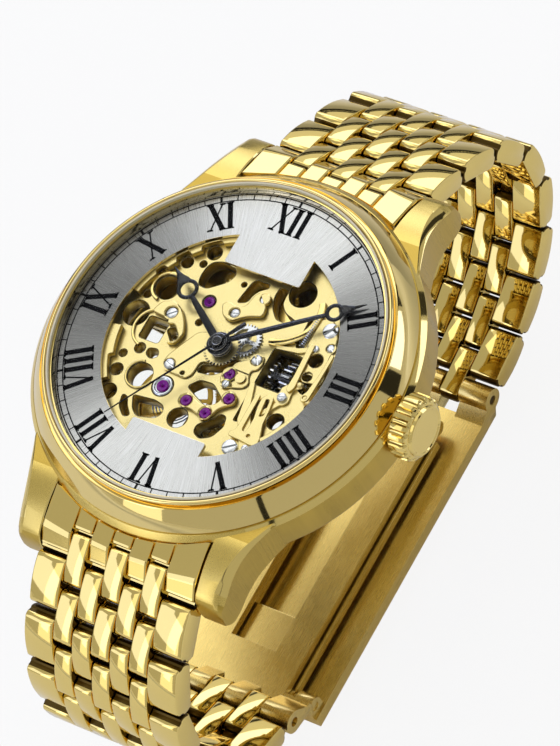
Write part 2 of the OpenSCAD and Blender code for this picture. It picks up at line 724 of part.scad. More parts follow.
module hour_wheel() color(gold) head() {
    gear(32, motion_module, -0.95, -0.75, cannon_r + eps, 0);
    difference() {
        shaft(hour_tube_r, -0.75, 0.16);
        shaft(cannon_r + eps, -2, 1);
    }
}

// Pear-shaped hand with a ring near its tip, drawn towards +Y
module pear_hand(length, eye_y, eye_r, hub_r, bore_r) {
    difference() {
        union() {
            circle(hub_r);
            polygon([[-0.34, 0], [0.34, 0], [0.2, eye_y - eye_r + 0.1],
                [-0.2, eye_y - eye_r + 0.1]]);
            translate([0, eye_y]) circle(eye_r);
            polygon([[-0.62, eye_y + eye_r - 0.25], [0.62, eye_y + eye_r - 0.25],
                [0.16, length - 0.5], [0, length], [-0.16, length - 0.5]]);
        }
        circle(bore_r);
        translate([0, eye_y]) circle(eye_r - 0.45);
    }
}

module hand_at(angle, z_low, thickness) {
    head() rotate([0, 0, -angle]) translate([0, 0, z_low])
        linear_extrude(thickness) children();
}

module hour_hand() color(black) hand_at(hour_angle, 0.18, 0.12)
    pear_hand(10.8, 7.5, 1.15, 1.25, cannon_r + eps + 0.02);

module minute_hand() color(black) hand_at(minute_angle, cannon_top, 0.11)
    pear_hand(15.3, 12, 1, 1.1, 0.21);

module seconds_hand() color(black) {
    hand_at(seconds_angle, 0.6, 0.09) {
        circle(0.6);
        polygon([[-0.14, 0], [0.14, 0], [0.06, 13], [-0.06, 13]]);
        polygon([[-0.14, 0], [0.14, 0], [0.3, -3.2], [-0.3, -3.2]]);
    }
    head() {
        shaft(0.35, 0.68, 0.8);
        shaft(0.12, bridge_pivot, 0.62);
        translate([0, 0, -4.6]) linear_extrude(0.22) toothed(8, 0.0853);
    }
}

rotor_post_r = 0.8;
rotor_low = -7.15;
rotor_web_low = -6.5;
rotor_web_t = 0.3;
rotor_r = 13.9;
rotor_rim_w = 3.3;
rotor_rest_angle = 167;

module rotor() color(gold) head() rotate([0, 0, rotor_rest_angle]) difference() {
    union() {
        translate([0, 0, rotor_web_low]) linear_extrude(rotor_web_t) {
            circle(1.9);
            intersection() {
                circle(rotor_r);
                polygon([[0, 0], [14, 1.5], [14, -14], [-14, -14], [-14, 1.5]]);
            }
        }
        rotate([0, 0, 180]) rotate_extrude(angle = 180)
            translate([rotor_r - rotor_rim_w, rotor_low])
                square([rotor_rim_w, rotor_web_low - rotor_low]);
        shaft(1.5, rotor_low + 0.15, rotor_web_low + rotor_web_t);
    }
    shaft(rotor_post_r + eps, rotor_low - 1, bridge_low + 1);
}

// ---- bracelet ---------------------------------------------------------------------
// Seven columns of bricks across the width: odd columns and even columns interlock
column_edges = [-9.25, -5.7, -3.45, -1.15, 1.15, 3.45, 5.7, 9.25];
brick_end_r = 1.3;
brick_top = 1.45;
brick_low = -1.1;
half_pitch = pitch / 2;
arch_r = 9.5;

// Side outline of a brick between two pins half a pitch apart
module brick_profile() {
    intersection() {
        union() {
            for (y = [0, half_pitch]) translate([y, 0]) circle(brick_end_r);
            translate([0, brick_low]) square([half_pitch, 2 * brick_end_r]);
            intersection() {
                translate([half_pitch / 2, brick_top - arch_r]) circle(arch_r, $fn = 144);
                translate([-0.9, 0]) square([half_pitch + 1.8, 2]);
            }
        }
        translate([-3, brick_low]) square([half_pitch + 6, 4]);
    }
}

// The bricks of every second column, starting from one of the first two
module bricks(first) {
    for (c = [first:2:6])
        along_x(column_edges[c] + brick_gap / 2, column_edges[c + 1] - brick_gap / 2)
            difference() {
                brick_profile();
                for (y = [0, half_pitch]) translate([y, 0]) circle(pin_r + eps, $fn = 32);
            }
}

module bracelet_pin(y) { translate([0, y, 0]) cross_shaft(pin_r, -9.1, 9.1); }

// One link: four outer bricks, three inner bricks half a pitch on, and two pins
module link_unit(far_pin = true) {
    bricks(0);
    translate([0, half_pitch, 0]) bricks(1);
    bracelet_pin(half_pitch);
    if (far_pin) bracelet_pin(pitch);
}

module upper_link(i) color(gold)
    translate([0, lug_pin_y + run_y(upper_slopes, i),
               dial_z + lug_pin_z + run_z(upper_slopes, i)])
        rotate([-upper_slopes[i], 0, 0]) link_unit();

module lower_link(i) color(gold) mirror([0, 1, 0])
    translate([0, lug_pin_y + run_y(lower_slopes, i),
               dial_z + lug_pin_z + run_z(lower_slopes, i)])
        rotate([-lower_slopes[i], 0, 0]) link_unit(i < lower_count - 1);

// Fixed end link: one solid moulded with the same columns, and the first hinge pin
module end_link_body() {
    translate([0, lug_pin_y, lug_pin_z]) rotate([-end_slope, 0, 0]) {
        translate([0, -half_pitch, 0]) bricks(1);
        translate([0, -pitch, 0]) for (c = [0:2:6])
            along_x(column_edges[c] + brick_gap / 2, column_edges[c + 1] - brick_gap / 2)
                brick_profile();
        along_x(-9.18, 9.18) polygon([[-7.8, 0.9], [-1.55, 0.9], [-1.55, -1.7],
            [-2, -2.1], [-5.4, -2.1], [-7.8, 0]]);
    }
}

module end_link() {
    difference() {
        end_link_body();
        shaft(case_r + 0.12, -12, 2);
        translate([0, bar_y, bar_z]) cross_shaft(bar_r + eps, -12, 12);
        translate([0, lug_pin_y, lug_pin_z]) cross_shaft(pin_r + eps, -12, 12);
    }
    translate([0, lug_pin_y, lug_pin_z]) bracelet_pin(0);
}

module end_links() color(gold) head() {
    end_link();
    mirror([0, 1, 0]) end_link();
}

module lug_spring_bars() color(steel) head() for (sy = [-1, 1])
    translate([0, sy * bar_y, bar_z]) {
        cross_shaft(bar_r, -lug_inner_x + 0.15, lug_inner_x - 0.15);
        for (sx = [0, 1]) mirror([sx, 0, 0])
            cross_shaft(0.45, lug_inner_x - 0.15, lug_inner_x + 2);
    }

// ---- folding clasp ----------------------------------------------------------------
cover_low_y = -20.8;
cover_high_y = cover_pin_y - 2.3;
cover_hinge_y = -19.8;
cover_hinge_z = 2.6;
ear_r = 1;
fold_y = 12.5;
fold_z = 3.4;
blade_half_w = 6.4;
clasp_bore_r = pin_r + eps;

module clasp_cover() color(gold) {
    difference() {
        union() {
            translate([-9.2, cover_low_y, 0]) cube([18.4, cover_high_y - cover_low_y, cover_t]);
            for (c = [0:2:6]) along_x(column_edges[c] + brick_gap / 2,
                    column_edges[c + 1] - brick_gap / 2) {
                translate([cover_pin_y, cover_pin_z]) circle(brick_end_r);
                polygon([[cover_high_y - 0.5, 0], [cover_pin_y - 0.6, 0],
                    [cover_pin_y, 1.1], [cover_pin_y, 2.6], [cover_high_y - 0.5, cover_t]]);
            }
            for (sx = [-1, 1]) translate([sx * 7.9, 0, 0]) along_x(-1, 1) {
                translate([cover_hinge_y, cover_hinge_z]) circle(ear_r);
                translate([cover_hinge_y - ear_r, cover_t / 2])
                    square([2 * ear_r, cover_hinge_z - cover_t / 2]);
            }
        }
        translate([0, cover_pin_y, cover_pin_z]) cross_shaft(clasp_bore_r, -12, 12);
        translate([0, cover_hinge_y, cover_hinge_z]) cross_shaft(clasp_bore_r, -12, 12);
    }
    translate([0, cover_hinge_y, cover_hinge_z]) cross_shaft(pin_r, -8.8, 8.8);
}

module clasp_blade_outer() color(gold) {
    half_t = blade_t / 2;
    difference() {
        union() {
            along_x(-blade_half_w, blade_half_w) {
                translate([cover_hinge_y, cover_hinge_z]) circle(0.78);
                translate([cover_hinge_y, cover_hinge_z - half_t])
                    square([fold_y - 1.3 - cover_hinge_y, blade_t]);
            }
            along_x(-2.6, 2.6) {
                translate([fold_y, fold_z]) circle(0.9);
                translate([fold_y - 2, cover_hinge_z - half_t]) square([2.6, blade_t]);
                translate([fold_y - 0.9, cover_hinge_z - half_t])
                    square([1.5, fold_z - cover_hinge_z + half_t]);
            }
        }
        translate([0, cover_hinge_y, cover_hinge_z]) cross_shaft(clasp_bore_r, -12, 12);
        translate([0, fold_y, fold_z]) cross_shaft(clasp_bore_r, -12, 12);
        translate([-3, -12, 0]) cube([6, 18, 5]);
    }
    translate([0, fold_y, fold_z]) cross_shaft(pin_r, -5.8, 5.8);
}

module clasp_blade_inner() color(gold) difference() {
    blade_low = cover_hinge_z + blade_t / 2 + 0.35;
    bar_low = blade_low + 0.22;
    union() {
        for (sx = [-1, 1]) translate([sx * 4.4, 0, 0]) along_x(-1.6, 1.6) {
            translate([fold_y, fold_z + 0.05]) circle(0.85);
            translate([open_pin_y + 1.5, blade_low])
                square([fold_y - open_pin_y - 1.5, blade_t]);
        }
        translate([-6, 8, blade_low]) cube([12, 3.2, blade_t]);
        translate([-6, open_pin_y + 2.4, blade_low]) cube([12, 4, blade_t]);
        along_x(-9.15, 9.15) translate([open_pin_y + 1.5, bar_low])
            square([1.2, blade_low + blade_t - bar_low]);
        for (c = [0:2:6]) along_x(column_edges[c] + brick_gap / 2,
                column_edges[c + 1] - brick_gap / 2) {
            translate([open_pin_y, open_pin_z]) circle(brick_end_r);
            polygon([[open_pin_y - 0.5, open_pin_z + 1.2], [open_pin_y + 1, open_pin_z + 0.83],
                [open_pin_y + 2.3, blade_low + blade_t], [open_pin_y + 2.3, bar_low],
                [open_pin_y + 1.5, bar_low], [open_pin_y - 0.3, open_pin_z - 1.26]]);
        }
    }
    translate([0, open_pin_y, open_pin_z]) cross_shaft(clasp_bore_r, -12, 12);
    translate([0, fold_y, fold_z]) cross_shaft(clasp_bore_r, -12, 12);
}

// ---- the assembly -----------------------------------------------------------------
mid_case();
bezel();
crystal();
seals();
dial_flange();
dial();
movement_ring();
case_back();
case_back_crystal();
crown_tube();
crown_gasket();
crown();
winding_stem();
end_links();
lug_spring_bars();
main_plate();
barrel_bridge();
train_bridge();
balance_cock();
plate_jewels();
movement_screws();
keyless_springs();
setting_lever();
sliding_pinion();
winding_pinion();
hour_hand();
hour_wheel();
minute_hand();
cannon_pinion();
seconds_hand();
minute_wheel();
barrel();
mainspring();
ratchet_wheel();
crown_wheel();
center_wheel();
third_wheel();
fourth_wheel();
escape_wheel();
pallet_fork();
balance_wheel();
hairspring();
rotor();
clasp_cover();
clasp_blade_outer();
clasp_blade_inner();
for (i = [1:upper_count])
    upper_link(i - 1);
for (i = [1:lower_count])
    lower_link(i - 1);
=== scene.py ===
"""A skeleton wristwatch on a gold brick bracelet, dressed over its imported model."""
import bpy
import bmesh
import math
from math import cos, sin, pi, radians, hypot
from mathutils import Matrix, Vector


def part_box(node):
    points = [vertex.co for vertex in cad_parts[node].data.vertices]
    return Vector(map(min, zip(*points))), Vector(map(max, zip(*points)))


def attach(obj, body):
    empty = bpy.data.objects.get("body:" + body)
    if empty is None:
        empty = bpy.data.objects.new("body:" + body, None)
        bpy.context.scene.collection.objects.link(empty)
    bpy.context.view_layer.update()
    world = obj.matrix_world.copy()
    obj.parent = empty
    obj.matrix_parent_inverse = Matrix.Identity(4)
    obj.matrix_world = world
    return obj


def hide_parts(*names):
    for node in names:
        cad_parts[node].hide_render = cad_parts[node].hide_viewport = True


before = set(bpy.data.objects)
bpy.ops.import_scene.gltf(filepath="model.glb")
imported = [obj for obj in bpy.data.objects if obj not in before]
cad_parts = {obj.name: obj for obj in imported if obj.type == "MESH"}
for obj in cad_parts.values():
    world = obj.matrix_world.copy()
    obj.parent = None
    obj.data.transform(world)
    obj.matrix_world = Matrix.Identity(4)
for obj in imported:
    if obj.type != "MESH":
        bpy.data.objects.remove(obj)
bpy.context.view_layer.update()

# ---- Camera
# A long lens above the crown side of the lower lugs, aimed near the dial's centre. Its
# place is counted in millimetres from the middle of the dial's top face.
dial_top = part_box("dial")[1][2] * 1000
eye = Vector((237.58, -137.97, 383.16 + dial_top)) / 1000
to_right = Vector((0.8173, 0.4801, -0.3185))
to_top = Vector((-0.2999, 0.8265, 0.4763))
lens = bpy.data.cameras.new("studio_camera")
lens.lens = 234.1
lens.clip_start, lens.clip_end = 0.01, 20
camera = bpy.data.objects.new("studio_camera", lens)
camera.matrix_world = Matrix.Translation(eye) @ Matrix(
    (to_right, to_top, to_right.cross(to_top))).transposed().to_4x4()
bpy.context.collection.objects.link(camera)
bpy.context.scene.camera = camera
bpy.context.scene.view_settings.view_transform = "Standard"

# ---- Studio
# Four soft boxes in a pale room. Upright black flags stand round it, so that polished metal
# has something bright and something dark to show, and a skirting darkens the north-west.


def soft_box(name, place, width, height, power, tint=(1, 1, 1)):
    """A rectangular lamp that faces the dial."""
    lamp = bpy.data.lights.new(name, "AREA")
    lamp.shape, lamp.size, lamp.size_y = "RECTANGLE", width, height
    lamp.energy, lamp.color = power, tint
    box = bpy.data.objects.new(name, lamp)
    box.location = place
    towards = Vector((0, 0, dial_top / 1000)) - Vector(place)
    box.rotation_euler = towards.to_track_quat("-Z", "Y").to_euler()
    bpy.context.collection.objects.link(box)


cool = (0.54, 0.61, 1.0)
soft_box("front_left_box", (-0.40, -0.50, 0.36), 0.62, 0.42, 1.06, cool)
soft_box("back_left_box", (-0.34, 0.56, 0.36), 0.62, 0.30, 1.05, cool)
soft_box("top_box", (-0.343, 0.231, 0.60), 0.34, 0.28, 0.30)
soft_box("right_box", (0.44, 0.48, 0.13), 0.30, 0.17, 0.36, cool)


def node(tree, kind, inputs=(), **settings):
    """A node whose inputs are set to values or linked to other nodes' outputs."""
    made = tree.nodes.new(kind)
    for key, value in settings.items():
        setattr(made, key, value)
    for key, value in dict(inputs).items():
        if isinstance(value, bpy.types.NodeSocket):
            tree.links.new(value, made.inputs[key])
        else:
            made.inputs[key].default_value = value
    return made


def maths(tree, kind, *values):
    return node(tree, "ShaderNodeMath", dict(enumerate(values)), operation=kind).outputs[0]


def vectors(tree, kind, *values):
    made = node(tree, "ShaderNodeVectorMath", dict(enumerate(values)), operation=kind)
    return made.outputs["Value" if kind == "LENGTH" else "Vector"]


def split(tree, vector):
    return node(tree, "ShaderNodeSeparateXYZ", {"Vector": vector}).outputs


def spot_of(tree):
    return node(tree, "ShaderNodeTexCoord").outputs["Object"]


def mixed(tree, share, first, second, blend="MIX"):
    return node(tree, "ShaderNodeMix", {0: share, 6: first, 7: second}, data_type="RGBA",
                blend_type=blend).outputs[2]


def ramp(tree, fac, stops):
    """A colour ramp through (position, grey level or colour) stops."""
    made = node(tree, "ShaderNodeValToRGB", {"Fac": fac})
    bar = made.color_ramp.elements
    while len(bar) < len(stops):
        bar.new(0.5)
    for mark, (place, shade) in zip(bar, stops):
        mark.position = place
        mark.color = (shade, shade, shade, 1) if isinstance(shade, (int, float)) else (*shade, 1)
    return made.outputs["Color"]


world = bpy.data.worlds.new("studio_room")
bpy.context.scene.world = world
world.use_nodes = True
room = world.node_tree
room.nodes.clear()
way = split(room, node(room, "ShaderNodeTexCoord").outputs["Generated"])
rise = node(room, "ShaderNodeMapRange", {"Value": way["Z"], "From Min": -1.0}).outputs["Result"]
walls = ramp(room, rise, [(0.0, 0.5), (0.494, 0.35), (0.498, 0.02), (0.518, 0.02), (0.526, 0.45),
                          (0.8, 0.50), (1.0, 0.52)])
round_about = node(room, "ShaderNodeMapRange", {
    "Value": maths(room, "ARCTAN2", way["Y"], way["X"]),
    "From Min": -pi, "From Max": pi}).outputs["Result"]
skirting_from = 0.74    # the share of a full turn, counted from due west, where it starts
walls = mixed(room, maths(room, "GREATER_THAN", round_about, skirting_from),
              (0.5, 0.5, 0.5, 1), walls)
panels = [(-180, 1), (-122, 2.6), (-103, 1), (-59, 0.05), (-56, 1), (22, 0.05), (33, 1),
          (62, 0.08), (73, 1), (96, 1.75), (150, 1)]
flags = ramp(room, round_about, [(a / 360 + 0.5, shade) for a, shade in panels])
flags.node.color_ramp.interpolation = "CONSTANT"
walls = mixed(room, 1.0, walls, flags, "MULTIPLY")
seen = node(room, "ShaderNodeLightPath").outputs["Is Camera Ray"]
glow = node(room, "ShaderNodeBackground", {
    "Color": mixed(room, seen, walls, (1, 1, 1, 1)), "Strength": 1.0})
node(room, "ShaderNodeOutputWorld", {"Surface": glow.outputs[0]})

# ---- Floor
# A wide sheet of white card that runs past the camera's view on every side. The camera sees
# the white room through it, and its underside is clear, so that the clasp still shows from
# below and where the opened bracelet reaches under it.
card = bpy.data.materials.new("white_card")
card.use_nodes = True
tree = card.node_tree
tree.nodes.clear()
fibres = node(tree, "ShaderNodeTexNoise", {"Vector": spot_of(tree), "Scale": 900.0,
                                           "Detail": 3.0})
paper = ramp(tree, fibres.outputs[0], [(0.3, 0.90), (0.7, 0.93)])

# Metal sees the card fall off into shade: far and dark in the north-west, mild elsewhere.
middle = vectors(tree, "ADD", spot_of(tree), (0, 0.15, 0))
away = vectors(tree, "LENGTH", middle)
far_side = ramp(tree, away, [(0.20, 1.0), (0.30, 0.5), (0.46, 0.4), (0.50, 0.03)])
near_side = ramp(tree, away, [(0.20, 1.0), (0.30, 0.6), (0.50, 1.0)])
apart = split(tree, middle)
corner = maths(tree, "MINIMUM", maths(tree, "SUBTRACT", 0.20, apart["X"]), apart["Y"])
falloff = mixed(tree, maths(tree, "GREATER_THAN", corner, 0.15), near_side, far_side)
path = node(tree, "ShaderNodeLightPath").outputs
matt = node(tree, "ShaderNodeBsdfDiffuse", {
    "Color": mixed(tree, path["Is Glossy Ray"], paper, falloff)})
clear_card = node(tree, "ShaderNodeBsdfTransparent", {"Color": (1, 1, 1, 1)})
shadow_left = 0.12
shown = maths(tree, "MAXIMUM", maths(tree, "MULTIPLY", path["Is Camera Ray"], 1 - shadow_left),
              node(tree, "ShaderNodeNewGeometry").outputs["Backfacing"])

# The clasp stands on the card, so the room's light has to reach its underside through it.
foot = [Vector(c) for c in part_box("clasp_cover")]
beside = vectors(tree, "SUBTRACT", spot_of(tree), (foot[0] + foot[1]) / 2)
beside = vectors(tree, "SUBTRACT", (foot[1] - foot[0]) / 2, vectors(tree, "ABSOLUTE", beside))
beside = split(tree, beside)
inside = maths(tree, "MINIMUM", beside["X"], beside["Y"])
inside = maths(tree, "GREATER_THAN", maths(tree, "SUBTRACT", inside, path["Is Camera Ray"]), 0.0)
sheer = node(tree, "ShaderNodeMixShader", {0: maths(tree, "MAXIMUM", shown, inside),
                                           1: matt.outputs[0], 2: clear_card.outputs[0]})
node(tree, "ShaderNodeOutputMaterial", {"Surface": sheer.outputs[0]})
half, under = 1.6, -0.00003
sheet = bpy.data.meshes.new("floor_card")
sheet.from_pydata([(x, y, under) for x, y in ((-half, -half), (half, -half), (half, half),
                                              (-half, half))], [], [(0, 1, 2, 3)])
sheet.materials.append(card)
floor = bpy.data.objects.new("floor_card", sheet)
bpy.context.collection.objects.link(floor)

# ---- Middle case and lugs
# A turned ring of steel with four milled lugs, plated in yellow gold. The flank and the
# lug tops are brushed; the edge between them is a polished bevel that widens to the tip.


def metal(name, colour, rough, lay, fine, depth, mottle=0.06, metallic=1.0, streak=0.0,
          anisotropic=0.0, cloudy=0.35):
    """A worked metal: lay is the way its grain runs, fine is the grain's count per metre and
    depth its height in metres; mottle and streak say how far the colour strays round its
    mean, and cloudy how much of that is broad patches instead of grain."""
    made = bpy.data.materials.new(name)
    made.use_nodes = True
    tree = made.node_tree
    shader = tree.nodes["Principled BSDF"]
    shader.inputs["Metallic"].default_value = metallic
    shader.inputs["Anisotropic"].default_value = anisotropic
    place = spot_of(tree)
    long = fine * 0.02
    straight = {"blast": (fine, fine, fine), "along_y": (fine, long, fine),
                "along_z": (fine, fine, long)}
    if lay in straight:
        grained = vectors(tree, "MULTIPLY", place, straight[lay])
    else:
        round_scale, out_scale = (0.012, 0.018) if lay == "rayed" else (0.0004, 1.0)
        flat = vectors(tree, "MULTIPLY", place, (1, 1, 0))
        unit = vectors(tree, "NORMALIZE", flat)
        circled = node(tree, "ShaderNodeVectorMath", {0: unit, "Scale": fine * round_scale},
                       operation="SCALE").outputs[0]
        reach = maths(tree, "MULTIPLY", vectors(tree, "LENGTH", flat), fine * out_scale)
        lift = node(tree, "ShaderNodeCombineXYZ", {"Z": reach}).outputs[0]
        grained = vectors(tree, "ADD", circled, lift)
        if anisotropic:
            tree.links.new(unit, shader.inputs["Tangent"])
    grit = node(tree, "ShaderNodeTexNoise", {"Vector": grained, "Scale": 1.0, "Detail": 4.0,
                                             "Roughness": 0.62}).outputs[0]
    cloud = node(tree, "ShaderNodeTexNoise", {"Vector": place, "Scale": 260.0,
                                              "Detail": 2.0}).outputs[0]
    blend = node(tree, "ShaderNodeMix", {0: cloudy, 2: grit, 3: cloud}).outputs[0]
    low = [c * (1 - mottle - streak) for c in colour]
    high = [min(c * (1 + mottle + streak), 1) for c in colour]
    rough = node(tree, "ShaderNodeMapRange", {"Value": blend, "From Min": 0.3, "From Max": 0.7,
                                              "To Min": rough * 0.75, "To Max": rough * 1.3})
    bump = node(tree, "ShaderNodeBump", {"Height": grit, "Distance": depth, "Strength": 1.0})
    tree.links.new(ramp(tree, blend, [(0.3, low), (0.7, high)]), shader.inputs["Base Color"])
    tree.links.new(rough.outputs[0], shader.inputs["Roughness"])
    tree.links.new(bump.outputs[0], shader.inputs["Normal"])
    return made


def plain_mesh(worker):
    """The mesh that an object's modifiers make; the object itself is thrown away."""
    mesh = bpy.data.meshes.new_from_object(
        worker.evaluated_get(bpy.context.evaluated_depsgraph_get()))
    bpy.data.objects.remove(worker)
    return mesh


def linked(name, data):
    made = bpy.data.objects.new(name, data)
    bpy.context.collection.objects.link(made)
    return made


def solid(name, points, faces, finish, body, stands_for=(), sharp=28, turn=True, move=None,
          slot=None):
    """A finished piece from points in millimetres about the middle of the dial's top face."""
    shape = bmesh.new()
    if isinstance(points, bpy.types.Mesh):
        shape.from_mesh(points)
    else:
        corners = [shape.verts.new(p) for p in points]
        for f in faces:
            shape.faces.new([corners[i] for i in f])
    bmesh.ops.remove_doubles(shape, verts=shape.verts, dist=1e-5)
    if turn:
        bmesh.ops.recalc_face_normals(shape, faces=shape.faces)
    move = move or Matrix.Translation((0, 0, dial_top))
    shape.transform(Matrix.Scale(0.001, 4) @ move)
    mesh = bpy.data.meshes.new(name)
    shape.to_mesh(mesh)
    shape.free()
    mesh.polygons.foreach_set("use_smooth", [True] * len(mesh.polygons))
    mesh.set_sharp_from_angle(angle=radians(sharp))
    mesh.materials.clear()
    mesh.materials.append(finish)
    piece = linked(name, mesh)
    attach(piece, body)
    if stands_for:
        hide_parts(*stands_for)
    return piece


def soften(profile, radius, steps=4):
    """Rounds each corner of a closed outline; radius is one number or one for each corner."""
    rounded = []
    count = len(profile)
    for i, corner in enumerate(profile):
        r = radius[i] if isinstance(radius, (list, tuple)) else radius
        here = Vector(corner)
        back = Vector(profile[i - 1]) - here
        ahead = Vector(profile[(i + 1) % count]) - here
        r = min(r, back.length * 0.45, ahead.length * 0.45)
        if r < 1e-4:
            rounded.append(tuple(here))
            continue
        a, b = here + back.normalized() * r, here + ahead.normalized() * r
        for k in range(steps + 1):
            t = k / steps
            rounded.append(tuple(a * (1 - t) ** 2 + here * 2 * t * (1 - t) + b * t * t))
    return rounded


def turned(profile, steps=192, start=0.0, sweep=2 * pi):
    """Points and faces of a closed (radius, height) outline turned round the Z axis."""
    full = abs(sweep - 2 * pi) < 1e-6
    stops = steps if full else steps + 1
    points = [(r * cos(start + sweep * i / steps), r * sin(start + sweep * i / steps), z)
              for i in range(stops) for r, z in profile]
    n = len(profile)
    faces = [(i * n + k, (i + 1) % stops * n + k, (i + 1) % stops * n + (k + 1) % n,
              i * n + (k + 1) % n) for i in range(steps) for k in range(n)]
    if not full:
        faces += [tuple(range(n)), tuple(range((stops - 1) * n, stops * n))]
    return points, faces


def loft(ribs, closed=True):
    """Points and faces of a skin over rings of equal length, its two ends closed or open."""
    n = len(ribs[0])
    points = [point for rib in ribs for point in rib]
    faces = [(i * n + k, i * n + (k + 1) % n, (i + 1) * n + (k + 1) % n, (i + 1) * n + k)
             for i in range(len(ribs) - 1) for k in range(n)]
    ends = [tuple(range(n)), tuple(range(len(points) - n, len(points)))]
    return points, faces + (ends if closed else [])


def together(*shapes):
    points, faces = [], []
    for p, f in shapes:
        faces += [tuple(len(points) + i for i in face) for face in f]
        points += p
    return points, faces


# The flank's gold is dark: partly its brushed finish, partly painted shade on the case's upright
# sides.
flank_gold_painted_shade = metal("brushed_gold_painted_shade", (0.53, 0.365, 0.07), 0.30, "round", 22000, 4e-6, 0.10,
                   streak=0.06)
bright_gold = metal("polished_gold", (0.86, 0.66, 0.215), 0.06, "blast", 9000, 1.2e-7, 0.03)
satin_gold = metal("satin_gold", (0.76, 0.565, 0.15), 0.28, "along_y", 22000, 3e-6, 0.08,
                   streak=0.04)

case_r, case_low, bezel_seat = 20.5, -6.3, -1.6
neck_r, bore_r = 17.85, 16.95
band = soften([(bore_r, case_low), (19.9, case_low), (case_r, -5.75), (case_r, -2.2),
               (19.97, bezel_seat), (neck_r, bezel_seat), (neck_r, 0.6), (17.4, 0.6),
               (17.4, -0.4), (bore_r, -0.4)],
              [0.05, 0.12, 0.12, 0.05, 0.05, 0, 0.05, 0.05, 0, 0])

# A lug's lines: its outer side seen from above, its underside seen from the side, its nose.
lug_in, lug_root, crest_end = 9.35, 12.0, 23.25
outer_edge = [(12, 14.45), (14.4, 14.45), (16, 13.8), (17.5, 13.25), (19, 12.85),
              (20.5, 12.6), (22, 12.5), (23.2, 12.42), (23.7, 12.3), (24, 12.05)]
under_line = [(12, -6.3), (14, -6.3), (16, -6.5), (18.5, -7), (20.5, -7.7), (22, -8.3),
              (23.1, -8.4), (23.7, -8.15), (23.95, -7.75)]
nose_line = [(23.5, -4.4), (23.72, -4.75), (23.88, -5.25), (23.96, -5.85), (24, -6.6)]


def along(line, at):
    """A line's height at a place along it."""
    for (a, u), (b, v) in zip(line, line[1:]):
        if at <= b:
            return u + (v - u) * (at - a) / (b - a)
    return line[-1][1]


def smooth_line(line, at):
    return sum(along(line, min(max(at + d, line[0][0]), line[-1][0]))
               for d in (-0.5, -0.25, 0, 0.25, 0.5)) / 5


def lug(sx, sy):
    """One lug as ribs that run from its underside to its top, with a polished bevel."""
    steps = [lug_root + (crest_end - lug_root) * i / 30 for i in range(31)]
    crest = [(y, -1.9 - 0.055 * max(y - 17, 0) ** 2) for y in steps] + nose_line
    ribs = []
    for i, (y, top) in enumerate(crest):
        y_low = lug_root + 11.95 * (i / (len(crest) - 1)) ** 0.9
        low = min(along(under_line, y_low), top - 0.15)
        out = smooth_line(outer_edge, y)
        out_low = smooth_line(outer_edge, y_low) - 0.12
        wide = 0.10 + 0.95 * min(max((y - 13) / 9.5, 0), 1) ** 1.2
        if y > 23.2:
            wide *= max(1 - (y - 23.2) / 1.4, 0.3)
        drop = min(wide * 0.75, (top - low) * 0.45)
        rib = [(lug_in, y_low, low + 0.1), (lug_in + 0.1, y_low, low),
               (out_low - 0.25, y_low, low), (out_low, y_low, low + 0.25),
               (out, y + (y_low - y) * drop / (top - low), top - drop),
               (out - wide * 0.45, y, top - drop * 0.38),
               (out - wide, y, top), (lug_in + 0.12, y, top), (lug_in, y, top - 0.12)]
        ribs.append([(sx * x, sy * v, z) for x, v, z in rib])
    return loft(ribs)


case_piece = solid("case_band", *together(turned(band, 256), *[
    lug(sx, sy) for sx in (-1, 1) for sy in (-1, 1)]), flank_gold_painted_shade, "watch_head", ["mid_case"],
    24, slot="gold_case")
for finish in (bright_gold, satin_gold):
    case_piece.data.materials.append(finish)
polished, satin = 1, 2
for side in case_piece.data.polygons:
    x, y, z = side.center * 1000
    lift = side.normal.z
    reach = hypot(x, y)
    if reach > 20.6 or abs(y) > 18:
        if 0.35 < lift < 0.9 and abs(side.normal.x) > 0.35 and 12 < abs(y) < 22.4:
            side.material_index = polished
        elif lift > 0.55 or abs(x) < lug_in + 0.2:
            side.material_index = satin
    if 20.0 < reach < 20.49 and 0.3 < lift < 0.9:
        side.material_index = polished if abs(x) > 12 else satin

# ---- Bezel
# A turned gold ring pressed onto the case's neck: a raised inner lip round the crystal, a
# dark groove, then a wide conical band polished to a mirror.
lip = [(neck_r + 0.24 * cos(radians(a)), 1.02 + 0.28 * sin(radians(a)))
       for a in range(0, 181, 12)]
cone = [(19.86 - 1.38 * t, -1.44 + 2.12 * t + 0.10 * sin(pi * t))
        for t in (0, 0.04, 0.12, 0.25, 0.4, 0.5, 0.6, 0.75, 0.88, 0.96, 1.0)]
rim = [(19.75, -1.58)] + cone + [
    (18.43, 0.73), (18.38, 0.70), (18.36, 0.36), (18.13, 0.36), (18.1, 0.9)] + lip + [
    (17.6, 0.9), (17.15, 0.9), (17.15, 0.66), (17.88, 0.66), (17.88, -1.58)]
mirror_gold = metal("mirror_gold", (0.87, 0.68, 0.26), 0.045, "blast", 6000, 4e-8, 0.02)
solid("bezel_ring", *turned(rim, 288), mirror_gold, "watch_head", ["bezel"], 24,
      slot="gold_case")

